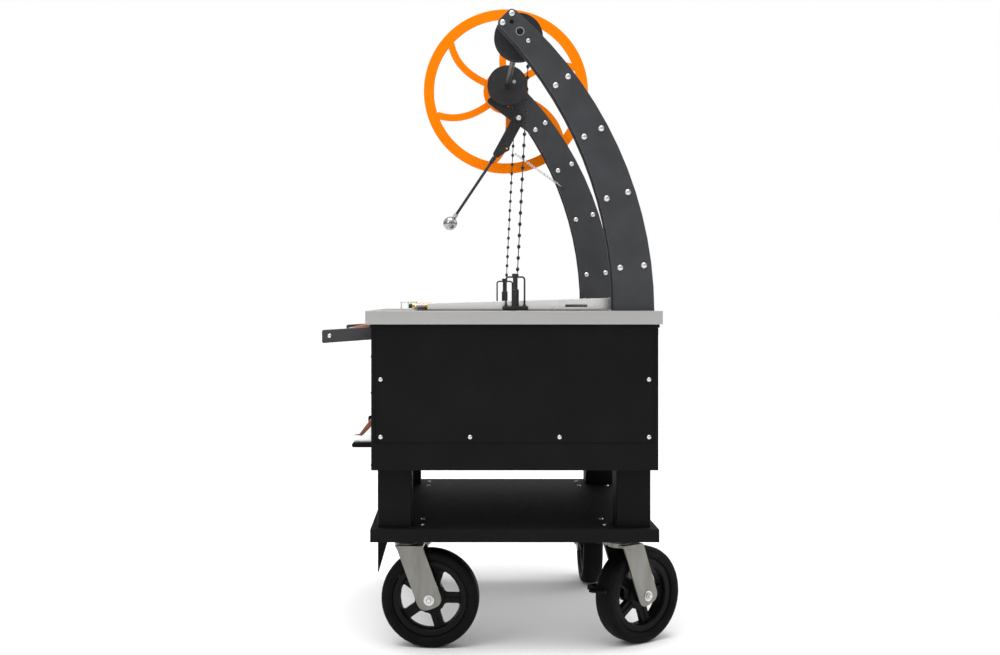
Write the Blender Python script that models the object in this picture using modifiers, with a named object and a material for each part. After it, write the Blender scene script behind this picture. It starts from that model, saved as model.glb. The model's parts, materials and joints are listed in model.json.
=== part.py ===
"""Open-fire grill on a caster cart, with a wheel-lifted grate. Metres, +Z up.

The user stands at -Y, the flywheel is on the -X side. "Right" is +X.
"""

import math

import bmesh
import bpy
from mathutils import Matrix, Vector

# ---------------------------------------------------------------- driving sizes
GAP = 0.0003                     # left between touching pieces

WHEEL_DIAMETER = 0.254
WHEEL_WIDTH = 0.0635
CASTER_HEIGHT = 0.289            # floor to the top of the mounting plate
CASTER_TRAIL = 0.064             # swivel axis to axle
CASTER_INSET_X = 0.112           # swivel axis in from the cart's side
CASTER_INSET_Y = 0.0866          # swivel axis in from the cart's end
FORK_METAL = 0.005
FORK_LEG = 0.065                 # width of a fork's legs
FORK_TOE = 0.023                 # how far the legs reach past the axle
FORK_CORNER = 0.022
CASTER_PLATE = 0.115
RACE_RADIUS = 0.030
PEDAL_HINGE = (0.050, 0.152)     # from the swivel axis and the floor
PEDAL_HEIGHT = 0.012
CASTER_YAW = {"front_right": 85.0, "rear_right": 125.0, "rear_left": 180.0, "front_left": 180.0}

BODY_WIDTH = 0.914
BODY_DEPTH = 0.724
BODY_HEIGHT = 0.368
SHEET = 0.003
LEG_SIDE = 0.0875
LEG_HEIGHT = 0.1486
LEG_INSET_X = 0.030
LEG_INSET_Y = 0.0145
TRAY_EDGE = 0.0327
TRAY_LIP = 0.0026                # the tray stands this far proud of the body, front and rear
GUSSET_X = 0.150
GUSSET_DROP = 0.140
GUSSET_WIDTH = 0.044

RIM_HEIGHT = 0.0337
RIM_OVERHANG_SIDE = 0.012
RIM_OVERHANG_FRONT = 0.014
RIM_OVERHANG_REAR = 0.010
FLANGE_HEIGHT = 0.008
FLANGE_PROUD = 0.003
OPENING_WIDTH = 0.744
OPENING_DEPTH = 0.500

COVER_THICKNESS = 0.002
COVER_INSET = 0.012
COVER_FOOT = 0.071               # body bottom to cover bottom
COVER_CORNER = 0.014

BRICK = 0.025
COAL_BED_HEIGHT = 0.178          # body bottom to the top of the coal bed's ledge
COAL_GRATE = 0.010
DRAWER_WIDTH = 0.600
DRAWER_HEIGHT = 0.070
DRAWER_LENGTH = 0.560
DRAWER_RISE = 0.046              # body bottom to drawer bottom
DRAWER_PULL = 0.058
RUNNER = 0.030

ARM_METAL = 0.006
ARM_THICKNESS = 0.059            # over both plates
ARM_OUTSET = 0.010               # outer plate in from the cart's side
ARM_ROOT_WIDTH = 0.1025
ARM_ROOT_REAR = 0.0085           # the arm's rear edge in from the body's rear face
ARM_FOOT = 0.190                 # how far the arm goes down below the deck
ARM_REAR_BULGE = 0.0902
ARM_FRONT_BULGE = 0.0765
SHAFT_RISE = 0.707               # deck to shaft
SHAFT_REACH = 0.3398             # arm's rear edge to shaft, towards the front
SHAFT_RADIUS = 0.008
BEARING_WIDTH = 0.012

FLYWHEEL_RADIUS = 0.267
FLYWHEEL_RIM = 0.033
FLYWHEEL_HUB = 0.073
FLYWHEEL_METAL = 0.012
FLYWHEEL_SPOKES = 6
FLYWHEEL_SPOKE = 0.022
FLYWHEEL_OUTSET = 0.0236         # middle of the flywheel out from the cart's side

SPOOL_RADIUS = 0.063
SPOOL_CORE = 0.024
SPOOL_WIDTH = 0.022
SPOOL_METAL = 0.003
CHAIN_RADIUS = 0.003
DRUM_RADIUS = 0.036
DRUM_WIDTH = 0.004
LEVER_METAL = 0.004
LIFT_GAP = 0.001                 # side play between brake pieces

GRATE_WIDTH = 0.703
GRATE_DEPTH = 0.4845
GRATE_CLEAR = 0.0025             # grate above the deck when it is down
GRATE_WALL = 0.003
GRATE_FRONT_HEIGHT = 0.0165
GRATE_REAR_HEIGHT = 0.0305
GRATE_CENTRE = 0.0061            # grate's middle to the rear of the shaft
CHANNELS = 21
CHANNEL_WIDTH = 0.023
CHANNEL_METAL = 0.002
TROUGH_WIDTH = 0.036
YOKE_HEIGHT = 0.0935
YOKE_SPREAD = 0.048
YOKE_WIRE = 0.0025
YOKE_LEAD = 0.0082               # yoke's middle in front of the shaft

BRACKET_REACH = 0.133
BRACKET_HEIGHT = 0.0345
BRACKET_METAL = 0.006
PUSH_BAR_RADIUS = 0.014
TOOL_RAIL_RADIUS = 0.005

# ------------------------------------------------------------- worked-out places
HALF_X = BODY_WIDTH / 2
HALF_Y = BODY_DEPTH / 2
TRAY_TOP = CASTER_HEIGHT + TRAY_EDGE - GAP
BODY_BOTTOM = TRAY_TOP + LEG_HEIGHT
BODY_TOP = BODY_BOTTOM + BODY_HEIGHT
DECK = BODY_TOP + GAP + RIM_HEIGHT
OPENING_REAR = OPENING_DEPTH / 2
LEDGE = BODY_BOTTOM + COAL_BED_HEIGHT

ARM_OUTER = HALF_X - ARM_OUTSET
ARM_INNER = ARM_OUTER - ARM_THICKNESS
ARM_REAR = HALF_Y - ARM_ROOT_REAR
ARM_FRONT = ARM_REAR - ARM_ROOT_WIDTH
SHAFT_Y = ARM_REAR - SHAFT_REACH
SHAFT_Z = DECK + SHAFT_RISE

DRUM_X = ARM_INNER - LIFT_GAP / 2 - DRUM_WIDTH / 2
LEVER_X = DRUM_X - DRUM_WIDTH / 2 - LIFT_GAP - LEVER_METAL / 2
SPOOL_X = LEVER_X - LEVER_METAL / 2 - 1.5 * LIFT_GAP - SPOOL_WIDTH / 2

GRATE_Y = SHAFT_Y + GRATE_CENTRE
GRATE_FRONT = GRATE_Y - GRATE_DEPTH / 2
GRATE_REAR = GRATE_Y + GRATE_DEPTH / 2
GRATE_Z = DECK + GRATE_CLEAR
YOKE_Y = SHAFT_Y - YOKE_LEAD
YOKE_TOP = GRATE_Z + YOKE_HEIGHT


# --------------------------------------------------------------------- materials
def finish(name, colour, roughness, metallic):
    material = bpy.data.materials.new(name)
    material.use_nodes = True
    shader = material.node_tree.nodes["Principled BSDF"]
    shader.inputs["Base Color"].default_value = (*colour, 1.0)
    shader.inputs["Roughness"].default_value = roughness
    shader.inputs["Metallic"].default_value = metallic
    return material


FINISHES = {
    "powder_black": ((0.020, 0.020, 0.023), 0.55, 0.2),
    "arm_grey": ((0.085, 0.088, 0.095), 0.45, 0.4),
    "stainless": ((0.62, 0.62, 0.61), 0.30, 1.0),
    "zinc": ((0.55, 0.56, 0.58), 0.35, 1.0),
    "orange": ((1.0, 0.22, 0.005), 0.40, 0.0),
    "black_steel": ((0.012, 0.012, 0.013), 0.45, 0.6),
    "firebrick": ((0.55, 0.36, 0.22), 0.90, 0.0),
    "rubber": ((0.015, 0.015, 0.015), 0.75, 0.0),
    "nylon": ((0.020, 0.020, 0.020), 0.60, 0.0),
    "chrome": ((0.80, 0.80, 0.80), 0.08, 1.0),
    "hardwood": ((0.30, 0.10, 0.04), 0.50, 0.0),
    "brass": ((0.80, 0.55, 0.15), 0.25, 1.0),
}


# --------------------------------------------------------------- modelling tools
class Shop:
    """The part's collections, its bodies' empties and its finishes."""

    def __init__(self):
        for old in list(bpy.data.objects):
            bpy.data.objects.remove(old, do_unlink=True)
        self.parts = bpy.data.collections.new("open_fire_grill")
        self.cutters = bpy.data.collections.new("cutters")
        for collection in (self.parts, self.cutters):
            bpy.context.scene.collection.children.link(collection)
        self.finishes = {name: finish(name, *values) for name, values in FINISHES.items()}
        self.origin = self.empty("grill_origin", (0, 0, 0), None)

    def empty(self, name, place, parent):
        holder = bpy.data.objects.new(name, None)
        holder.location = place
        holder.parent = parent
        self.parts.objects.link(holder)
        return holder

    def place(self, obj, finish_name, parent):
        """Put a finished object, modelled in cart coordinates, under its body's empty."""
        for collection in list(obj.users_collection):
            collection.objects.unlink(obj)
        self.parts.objects.link(obj)
        obj.parent = parent
        bpy.context.view_layer.update()
        obj.matrix_parent_inverse = (self.origin.matrix_world.inverted() @ parent.matrix_world).inverted()
        obj.data.materials.clear()
        obj.data.materials.append(self.finishes[finish_name])
        return obj

    def tool(self, obj):
        """Make an object a hidden operand of a Boolean."""
        for collection in list(obj.users_collection):
            collection.objects.unlink(obj)
        self.cutters.objects.link(obj)
        obj.parent = self.origin
        obj.hide_render = True
        obj.display_type = "WIRE"
        return obj


def new_object(name, data):
    obj = bpy.data.objects.new(name, data)
    bpy.context.scene.collection.objects.link(obj)
    return obj


def box(name, low, high):
    """A box between two corners."""
    mesh = bpy.data.meshes.new(name)
    bm = bmesh.new()
    size = [b - a for a, b in zip(low, high)]
    middle = [(a + b) / 2 for a, b in zip(low, high)]
    bmesh.ops.create_cube(bm, size=1.0, matrix=Matrix.Translation(middle) @ Matrix.Diagonal((*size, 1.0)))
    bm.to_mesh(mesh)
    bm.free()
    return new_object(name, mesh)


def rod(name, start, end, radius, sides=16):
    """A round bar between two points."""
    start, end = Vector(start), Vector(end)
    along = end - start
    turn = along.to_track_quat("Z", "Y").to_matrix().to_4x4()
    mesh = bpy.data.meshes.new(name)
    bm = bmesh.new()
    bmesh.ops.create_cone(bm, cap_ends=True, segments=sides, radius1=radius, radius2=radius,
                          depth=along.length, matrix=Matrix.Translation((start + end) / 2) @ turn)
    bm.to_mesh(mesh)
    bm.free()
    smooth(mesh)
    return new_object(name, mesh)


def ball(name, centre, radius):
    mesh = bpy.data.meshes.new(name)
    bm = bmesh.new()
    bmesh.ops.create_uvsphere(bm, u_segments=20, v_segments=12, radius=radius,
                              matrix=Matrix.Translation(centre))
    bm.to_mesh(mesh)
    bm.free()
    smooth(mesh)
    return new_object(name, mesh)


def smooth(mesh):
    mesh.shade_smooth()
    mesh.set_sharp_from_angle(angle=math.radians(35))


def settle(obj):
    """Turn an object with modifiers, or a curve, into a plain closed mesh in place."""
    bpy.context.view_layer.update()
    mesh = bpy.data.meshes.new_from_object(obj.evaluated_get(bpy.context.evaluated_depsgraph_get()))
    bm = bmesh.new()
    bm.from_mesh(mesh)
    bm.transform(obj.matrix_world)
    bmesh.ops.remove_doubles(bm, verts=bm.verts, dist=1e-6)
    bmesh.ops.recalc_face_normals(bm, faces=bm.faces)
    bm.to_mesh(mesh)
    bm.free()
    smooth(mesh)
    name = obj.name
    bpy.data.objects.remove(obj, do_unlink=True)
    return new_object(name, mesh)


FACING = {
    "X": Matrix(((0, 0, 1, 0), (1, 0, 0, 0), (0, 1, 0, 0), (0, 0, 0, 1))),
    "Y": Matrix(((1, 0, 0, 0), (0, 0, -1, 0), (0, 1, 0, 0), (0, 0, 0, 1))),
    "Z": Matrix.Identity(4),
}


def sheet(name, loops, axis, low, high):
    """A flat shape cut to outlines and holes, between two planes across an axis.

    The outlines are (Y, Z) across X, (X, Z) across Y and (X, Y) across Z.
    """
    curve = bpy.data.curves.new(name, "CURVE")
    curve.dimensions = "2D"
    curve.fill_mode = "BOTH"
    curve.extrude = (high - low) / 2
    for loop in loops:
        line = curve.splines.new("POLY")
        line.points.add(len(loop) - 1)
        line.use_cyclic_u = True
        for point, (u, v) in zip(line.points, loop):
            point.co = (u, v, 0.0, 1.0)
    obj = new_object(name, curve)
    middle = (low + high) / 2
    shift = {"X": (middle, 0, 0), "Y": (0, middle, 0), "Z": (0, 0, middle)}[axis]
    obj.matrix_world = Matrix.Translation(shift) @ FACING[axis]
    return settle(obj)


def turned(name, profile, centre, axis, steps=32):
    """A turned shape: (radius, position) points along an axis through a centre."""
    area = sum(a[0] * b[1] - b[0] * a[1] for a, b in zip(profile, profile[1:] + profile[:1]))
    if area > 0:
        profile = profile[::-1]
    mesh = bpy.data.meshes.new(name)
    bm = bmesh.new()
    points = [bm.verts.new((radius, 0.0, position)) for radius, position in profile]
    for first, second in zip(points, points[1:] + points[:1]):
        if first.co.x > 0.0 or second.co.x > 0.0:
            bm.edges.new((first, second))
    bm.to_mesh(mesh)
    bm.free()
    obj = new_object(name, mesh)
    screw = obj.modifiers.new("turn", "SCREW")
    screw.steps = screw.render_steps = steps
    screw.use_merge_vertices = True
    screw.merge_threshold = 0.00001
    facing = {"X": Vector((1, 0, 0)), "Y": Vector((0, 1, 0)), "Z": Vector((0, 0, 1))}[axis]
    obj.matrix_world = Matrix.Translation(centre) @ facing.to_track_quat("Z", "Y").to_matrix().to_4x4()
    return settle(obj)


def combine(shop, target, tools, operation):
    for tool in tools:
        shop.tool(tool)
        step = target.modifiers.new(operation.lower(), "BOOLEAN")
        step.operation = operation
        step.object = tool
    return target


def fuse(shop, target, *tools):
    return combine(shop, target, tools, "UNION")


def cut(shop, target, *tools):
    return combine(shop, target, tools, "DIFFERENCE")


# ------------------------------------------------------------------ flat outlines
def arc(centre, radius, start, end, pieces):
    """Points on an arc, angles in degrees from the first axis to the second."""
    step = (end - start) / pieces
    angles = [math.radians(start + step * i) for i in range(pieces + 1)]
    return [(centre[0] + radius * math.cos(a), centre[1] + radius * math.sin(a)) for a in angles]


def circle(centre, radius, sides):
    return arc(centre, radius, 0.0, 360.0, sides)[:-1]


def rectangle(low, high):
    return [(low[0], low[1]), (high[0], low[1]), (high[0], high[1]), (low[0], high[1])]


def rounded(low, high, radius, pieces=4):
    """A rectangle with round corners."""
    corners = [(low[0] + radius, low[1] + radius, 180), (high[0] - radius, low[1] + radius, 270),
               (high[0] - radius, high[1] - radius, 0), (low[0] + radius, high[1] - radius, 90)]
    return [p for x, y, start in corners for p in arc((x, y), radius, start, start + 90, pieces)]


def bowed(start, end, bulge, pieces):
    """Points on an arc from start to end that bulges to the right of the chord."""
    start, end = Vector(start), Vector(end)
    chord = end - start
    half = chord.length / 2
    radius = (half * half + bulge * bulge) / (2 * abs(bulge))
    right = Vector((chord.y, -chord.x)).normalized() * (1 if bulge > 0 else -1)
    centre = (start + end) / 2 - right * (radius - abs(bulge))
    first = math.atan2(start.y - centre.y, start.x - centre.x)
    sweep = 2 * math.asin(min(1.0, half / radius)) * (1 if bulge > 0 else -1)
    return [(centre.x + radius * math.cos(first + sweep * i / pieces),
             centre.y + radius * math.sin(first + sweep * i / pieces)) for i in range(pieces + 1)]


def mirrored(loop):
    return [(-u, v) for u, v in reversed(loop)]


# ---------------------------------------------------------------------- the cart
def firebox(shop, root):
    """The double-depth steel body, with its top flange and the coal bed's ledge."""
    walls = sheet("firebox", [rectangle((-HALF_X, -HALF_Y), (HALF_X, HALF_Y)),
                              rectangle((-HALF_X + SHEET, -HALF_Y + SHEET), (HALF_X - SHEET, HALF_Y - SHEET))],
                  "Z", BODY_BOTTOM, BODY_TOP)
    floor = box("firebox_floor", (-HALF_X + SHEET / 2, -HALF_Y + SHEET / 2, BODY_BOTTOM),
                (HALF_X - SHEET / 2, HALF_Y - SHEET / 2, BODY_BOTTOM + SHEET))
    proud = FLANGE_PROUD
    flange = sheet("firebox_flange", [rectangle((-HALF_X - proud, -HALF_Y - proud), (HALF_X + proud, HALF_Y + proud)),
                                      rectangle((-HALF_X + SHEET * 2, -HALF_Y + SHEET * 2),
                                                (HALF_X - SHEET * 2, HALF_Y - SHEET * 2))],
                   "Z", BODY_TOP - FLANGE_HEIGHT, BODY_TOP)
    ledge_x = OPENING_WIDTH / 2 - BRICK
    ledge_y = HALF_Y - BRICK * 2
    ledge = sheet("firebox_ledge", [rectangle((-HALF_X + SHEET / 2, -HALF_Y + SHEET / 2),
                                              (HALF_X - SHEET / 2, HALF_Y - SHEET / 2)),
                                    rectangle((-ledge_x, -ledge_y), (ledge_x, ledge_y))],
                  "Z", LEDGE - SHEET, LEDGE)
    mouth = box("drawer_mouth", (-DRAWER_WIDTH / 2 - 0.002, -HALF_Y - 0.01, BODY_BOTTOM + DRAWER_RISE - 0.002),
                (DRAWER_WIDTH / 2 + 0.002, -HALF_Y + 0.01, BODY_BOTTOM + DRAWER_RISE + DRAWER_HEIGHT + 0.002))
    runners = [box("drawer_runner", (x - RUNNER / 2, -HALF_Y + SHEET / 2, BODY_BOTTOM + SHEET / 2),
                   (x + RUNNER / 2, -HALF_Y + DRAWER_LENGTH, BODY_BOTTOM + DRAWER_RISE - GAP))
               for x in (DRAWER_WIDTH / 2 - RUNNER, RUNNER - DRAWER_WIDTH / 2)]
    fuse(shop, walls, floor, flange, ledge, *runners)
    cut(shop, walls, mouth)
    shop.place(walls, "powder_black", root)


def top_rim(shop, root):
    """The stainless deck: a folded plate with an opening for the fire and slots for the arms."""
    low = (-HALF_X - RIM_OVERHANG_SIDE, -HALF_Y - RIM_OVERHANG_FRONT)
    high = (HALF_X + RIM_OVERHANG_SIDE, HALF_Y + RIM_OVERHANG_REAR)
    opening = rectangle((-OPENING_WIDTH / 2, -OPENING_REAR), (OPENING_WIDTH / 2, OPENING_REAR))
    deck = sheet("top_rim", [rounded(low, high, 0.006), opening], "Z", BODY_TOP + GAP, DECK)
    inner = [(low[0] + SHEET, low[1] + SHEET), (high[0] - SHEET, high[1] - SHEET)]
    collar = rectangle((-OPENING_WIDTH / 2 - SHEET, -OPENING_REAR - SHEET),
                       (OPENING_WIDTH / 2 + SHEET, OPENING_REAR + SHEET))
    pocket = sheet("rim_pocket", [rounded(*inner, 0.003, 2), collar], "Z", BODY_TOP - 0.01, DECK - SHEET)
    play = 0.0015
    slots = [box("arm_slot", (x - ARM_THICKNESS / 2 - play, ARM_FRONT - play, DECK - SHEET - 0.002),
                 (x + ARM_THICKNESS / 2 + play, ARM_REAR + play, DECK + 0.01))
             for x in (ARM_OUTER - ARM_THICKNESS / 2, -ARM_OUTER + ARM_THICKNESS / 2)]
    cut(shop, deck, pocket, *slots)
    shop.place(deck, "stainless", root)


def side_covers(shop, root):
    low = (-HALF_Y + COVER_INSET, BODY_BOTTOM + COVER_FOOT)
    high = (HALF_Y - COVER_INSET, BODY_TOP - FLANGE_HEIGHT - GAP)
    outline = (arc((low[0] + COVER_CORNER, low[1] + COVER_CORNER), COVER_CORNER, 180, 270, 5)
               + arc((high[0] - COVER_CORNER, low[1] + COVER_CORNER), COVER_CORNER, 270, 360, 5)
               + [high, (low[0], high[1])])
    for name, side in (("side_cover_right", 1), ("side_cover_left", -1)):
        near, far = sorted((side * (HALF_X + GAP), side * (HALF_X + GAP + COVER_THICKNESS)))
        shop.place(sheet(name, [outline], "X", near, far), "powder_black", root)


def fire_bed(shop, root):
    """Firebrick round the coals, on a slotted grate that lets the ash through."""
    half_x = OPENING_WIDTH / 2 + SHEET
    half_y = HALF_Y - BRICK
    top = BODY_TOP - FLANGE_HEIGHT
    grate_top = LEDGE + GAP + COAL_GRATE
    lining = sheet("firebrick_lining", [rectangle((-half_x, -half_y), (half_x, half_y)),
                                        rectangle((-half_x + BRICK, -half_y + BRICK),
                                                  (half_x - BRICK, half_y - BRICK))],
                   "Z", grate_top + GAP, top)
    shop.place(lining, "firebrick", root)
    slots = 8
    pitch = 2 * (half_x - BRICK) / slots
    loops = [rectangle((-half_x, -half_y), (half_x, half_y))]
    for row in (-1, 1):
        for i in range(slots):
            x = -half_x + BRICK + pitch * (i + 0.5)
            y = row * half_y / 2
            reach = half_y / 2 - BRICK * 1.4
            loops.append(rectangle((x - pitch * 0.2, y - reach), (x + pitch * 0.2, y + reach)))
    shop.place(sheet("charcoal_grate", loops, "Z", LEDGE + GAP, grate_top), "black_steel", root)


def legs(shop, root):
    x = HALF_X - LEG_INSET_X - LEG_SIDE / 2
    y = HALF_Y - LEG_INSET_Y - LEG_SIDE / 2
    outer, inner = LEG_SIDE / 2, LEG_SIDE / 2 - 0.004
    for name, sx, sy in (("leg_front_right", 1, -1), ("leg_front_left", -1, -1),
                         ("leg_rear_right", 1, 1), ("leg_rear_left", -1, 1)):
        cx, cy = sx * x, sy * y
        tube = sheet(name, [rounded((cx - outer, cy - outer), (cx + outer, cy + outer), 0.006, 2),
                            rectangle((cx - inner, cy - inner), (cx + inner, cy + inner))],
                     "Z", TRAY_TOP + GAP, BODY_BOTTOM - GAP)
        shop.place(tube, "powder_black", root)


def caster_spots():
    x = HALF_X - CASTER_INSET_X
    y = HALF_Y + TRAY_LIP - CASTER_INSET_Y
    return {"front_right": (x, -y), "front_left": (-x, -y), "rear_right": (x, y), "rear_left": (-x, y)}


def lower_tray(shop, root):
    """The under-shelf, with down-turned edges, caster pads and two front gussets."""
    half_y = HALF_Y + TRAY_LIP
    low, high = (-HALF_X, -half_y), (HALF_X, half_y)
    bottom = CASTER_HEIGHT - GAP
    tray = sheet("lower_tray", [rectangle(low, high)], "Z", TRAY_TOP - SHEET, TRAY_TOP)
    edge = sheet("tray_edge", [rectangle(low, high), rectangle((low[0] + SHEET, low[1] + SHEET),
                                                               (high[0] - SHEET, high[1] - SHEET))],
                 "Z", bottom, TRAY_TOP - SHEET / 2)
    pads = [box("pad_" + name, (x - CASTER_PLATE / 2, y - CASTER_PLATE / 2, CASTER_HEIGHT + GAP),
                (x + CASTER_PLATE / 2, y + CASTER_PLATE / 2, TRAY_TOP - SHEET / 2))
            for name, (x, y) in caster_spots().items()]
    front, back = -half_y + SHEET / 4, -half_y + GUSSET_WIDTH
    spike = [(front, bottom + TRAY_EDGE / 2), (front, bottom - GUSSET_DROP),
             (front + 0.002, bottom - GUSSET_DROP), (back, bottom), (back, bottom + TRAY_EDGE / 2)]
    gussets = [sheet("gusset", [spike], "X", x - SHEET / 2, x + SHEET / 2) for x in (-GUSSET_X, GUSSET_X)]
    fuse(shop, tray, edge, *pads, *gussets)
    shop.place(tray, "powder_black", root)


def front_rail(shop, root):
    """Two flat brackets on the front face that carry the push bar and the tool rail."""
    top = BODY_TOP - FLANGE_HEIGHT - GAP
    back = -HALF_Y - GAP
    front = back - BRACKET_REACH
    droop = 0.0075
    x = GRATE_WIDTH / 2 + 0.0105
    outline = [(back, top), (front + 0.003, top - droop), (front, top - droop - 0.003),
               (front, top - droop - BRACKET_HEIGHT + 0.003), (front + 0.003, top - droop - BRACKET_HEIGHT),
               (back, top - BRACKET_HEIGHT + 0.002)]
    for name, side in (("front_bracket_right", 1), ("front_bracket_left", -1)):
        near, far = sorted((side * x, side * (x + BRACKET_METAL)))
        shop.place(sheet(name, [outline], "X", near, far), "arm_grey", root)
    end = x - GAP
    push_y = back - BRACKET_REACH * 0.44
    push_z = top - PUSH_BAR_RADIUS * 1.05
    shop.place(rod("push_bar", (-end, push_y, push_z), (end, push_y, push_z), PUSH_BAR_RADIUS, 20),
               "hardwood", root)
    tool_y = front + 0.020
    tool_z = top - droop - BRACKET_HEIGHT * 0.45
    shop.place(rod("tool_rail", (-end, tool_y, tool_z), (end, tool_y, tool_z), TOOL_RAIL_RADIUS, 12),
               "stainless", root)


# ---------------------------------------------------------------------- the arms
HEAD_TOP = (-0.0077, 0.051)      # the arm's head, from the shaft
HEAD_FRONT = (-0.0527, 0.015)
HEAD_BOLTS = ((-0.0207, 0.045), (-0.0437, 0.022))
BEARING_BOLTS = ((0.021, -0.024), (-0.021, 0.024))
HEAD_ROUND = 0.012
SPACER_ROWS = (0.137, 0.363, 0.569, 0.754)      # shares of the arm's length, from the deck
SPACER_EDGE = 0.0195
SPACER_RADIUS = 0.009


def from_shaft(point):
    return (SHAFT_Y + point[0], SHAFT_Z + point[1])


def arm_outline():
    """A plate that leans forward: it bows up from the deck to a head round two bolts."""
    foot = DECK - ARM_FOOT
    rear = bowed((ARM_REAR, DECK), from_shaft(HEAD_TOP), ARM_REAR_BULGE, 14)
    front = bowed((ARM_FRONT, DECK), from_shaft(HEAD_FRONT), ARM_FRONT_BULGE, 14)[::-1]
    upper = arc(from_shaft(HEAD_BOLTS[0]), HEAD_ROUND, 60, 135, 3)
    lower = arc(from_shaft(HEAD_BOLTS[1]), HEAD_ROUND, 135, 205, 3)
    return [(ARM_REAR, foot)] + rear + upper + lower + front + [(ARM_FRONT, foot)]


def spacer_places():
    """Where round spacers hold an arm's plates apart, in rows of two across the arm."""
    pieces = 1000
    rear = bowed((ARM_REAR, DECK), from_shaft(HEAD_TOP), ARM_REAR_BULGE, pieces)
    front = bowed((ARM_FRONT, DECK), from_shaft(HEAD_FRONT), ARM_FRONT_BULGE, pieces)
    places = []
    for share in SPACER_ROWS:
        back = Vector(rear[round(share * pieces)])
        ahead = Vector(front[round(share * 0.975 * pieces)])
        across = (ahead - back).normalized() * SPACER_EDGE
        places += [tuple(back + across), tuple(ahead - across)]
    return places


def arms(shop, root):
    outline = arm_outline()
    shaft_hole = circle((SHAFT_Y, SHAFT_Z), SHAFT_RADIUS + 0.003, 16)
    for word, side in (("right", 1), ("left", -1)):
        near, far = sorted((side * ARM_OUTER, side * (ARM_OUTER - ARM_METAL)))
        outer = sheet("arm_outer_plate_" + word, [outline, shaft_hole], "X", near, far)
        shop.place(outer, "arm_grey", root)
        near, far = sorted((side * ARM_INNER, side * (ARM_INNER + ARM_METAL)))
        inner = sheet("arm_inner_plate_" + word, [outline, shaft_hole], "X", near, far)
        start = side * (ARM_INNER + ARM_METAL / 2)
        end = side * (ARM_OUTER - ARM_METAL - GAP)
        spacers = [rod("spacer", (start, y, z), (end, y, z), SPACER_RADIUS, 6) for y, z in spacer_places()]
        extras = brake_studs() if side < 0 else []
        fuse(shop, inner, *spacers, *extras)
        shop.place(inner, "arm_grey", root)
        bearing(shop, root, word, side)


def bearing(shop, root, word, side):
    """A two-bolt flange bearing behind the outer plate."""
    face = side * (ARM_OUTER - ARM_METAL - GAP)
    back = face - side * BEARING_WIDTH
    lean = math.degrees(math.atan2(BEARING_BOLTS[0][1], BEARING_BOLTS[0][0]))
    centre = (SHAFT_Y, SHAFT_Z)
    ends = [from_shaft(bolt) for bolt in BEARING_BOLTS]
    outline = (arc(ends[0], 0.009, lean - 60, lean + 60, 4) + arc(centre, 0.021, lean + 60, lean + 120, 4)
               + arc(ends[1], 0.009, lean + 120, lean + 240, 4) + arc(centre, 0.021, lean + 240, lean + 300, 4))
    near, far = sorted((face, back))
    body = sheet("bearing_" + word, [outline, circle(centre, SHAFT_RADIUS + GAP, 16)], "X", near, far)
    shop.place(body, "zinc", root)


# --------------------------------------------------------- winch, chains and brake
def winch(shop, root):
    body = shop.empty("winch_axis", (0, SHAFT_Y, SHAFT_Z), root)
    nut_inner = -(HALF_X + FLYWHEEL_OUTSET + 0.0143)
    nut_outer = nut_inner - 0.010
    shaft = rod("winch_shaft", (nut_inner + 0.002, SHAFT_Y, SHAFT_Z),
                (ARM_OUTER - ARM_METAL - 0.004, SHAFT_Y, SHAFT_Z), SHAFT_RADIUS, 16)
    shop.place(shaft, "black_steel", body)
    nut = turned("flywheel_nut", [(0.0, nut_inner), (0.013, nut_inner), (0.013, nut_outer + 0.003),
                                  (0.010, nut_outer), (0.0, nut_outer)], (0, SHAFT_Y, SHAFT_Z), "X", 12)
    shop.place(nut, "zinc", body)
    flywheel(shop, body)
    bore = SHAFT_RADIUS + GAP
    half = SPOOL_WIDTH / 2
    for word, side in (("right", 1), ("left", -1)):
        reel = [(bore, -half), (SPOOL_RADIUS, -half), (SPOOL_RADIUS, -half + SPOOL_METAL),
                (SPOOL_CORE, -half + SPOOL_METAL), (SPOOL_CORE, half - SPOOL_METAL),
                (SPOOL_RADIUS, half - SPOOL_METAL), (SPOOL_RADIUS, half)]
        if side < 0:
            inner = DRUM_X - DRUM_WIDTH / 2 - SPOOL_X
            outer = DRUM_X + DRUM_WIDTH / 2 - SPOOL_X
            reel += [(0.013, half), (0.013, inner), (DRUM_RADIUS, inner), (DRUM_RADIUS, outer), (bore, outer)]
        else:
            reel += [(bore, half)]
        reel = [(radius, side * x) for radius, x in reel]
        spool = turned("chain_spool_" + word, reel, (side * SPOOL_X, SHAFT_Y, SHAFT_Z), "X", 24)
        shop.place(spool, "black_steel", body)


def spoke_angle(radius):
    """Where a spoke's middle line is, in degrees, at a radius: radial at the hub, then swept."""
    share = (radius - FLYWHEEL_HUB) / (FLYWHEEL_RADIUS - FLYWHEEL_HUB)
    return 217.3 - 7.0 * share - 17.5 * share * share


def spoke_side(radius, side):
    """The angle of a spoke's side at a radius, in degrees."""
    step = 0.001
    slope = math.radians(spoke_angle(radius + step) - spoke_angle(radius)) / step * radius
    half = FLYWHEEL_SPOKE / 2 * math.hypot(1.0, slope)
    return spoke_angle(radius) + side * math.degrees(half / radius)


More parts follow.
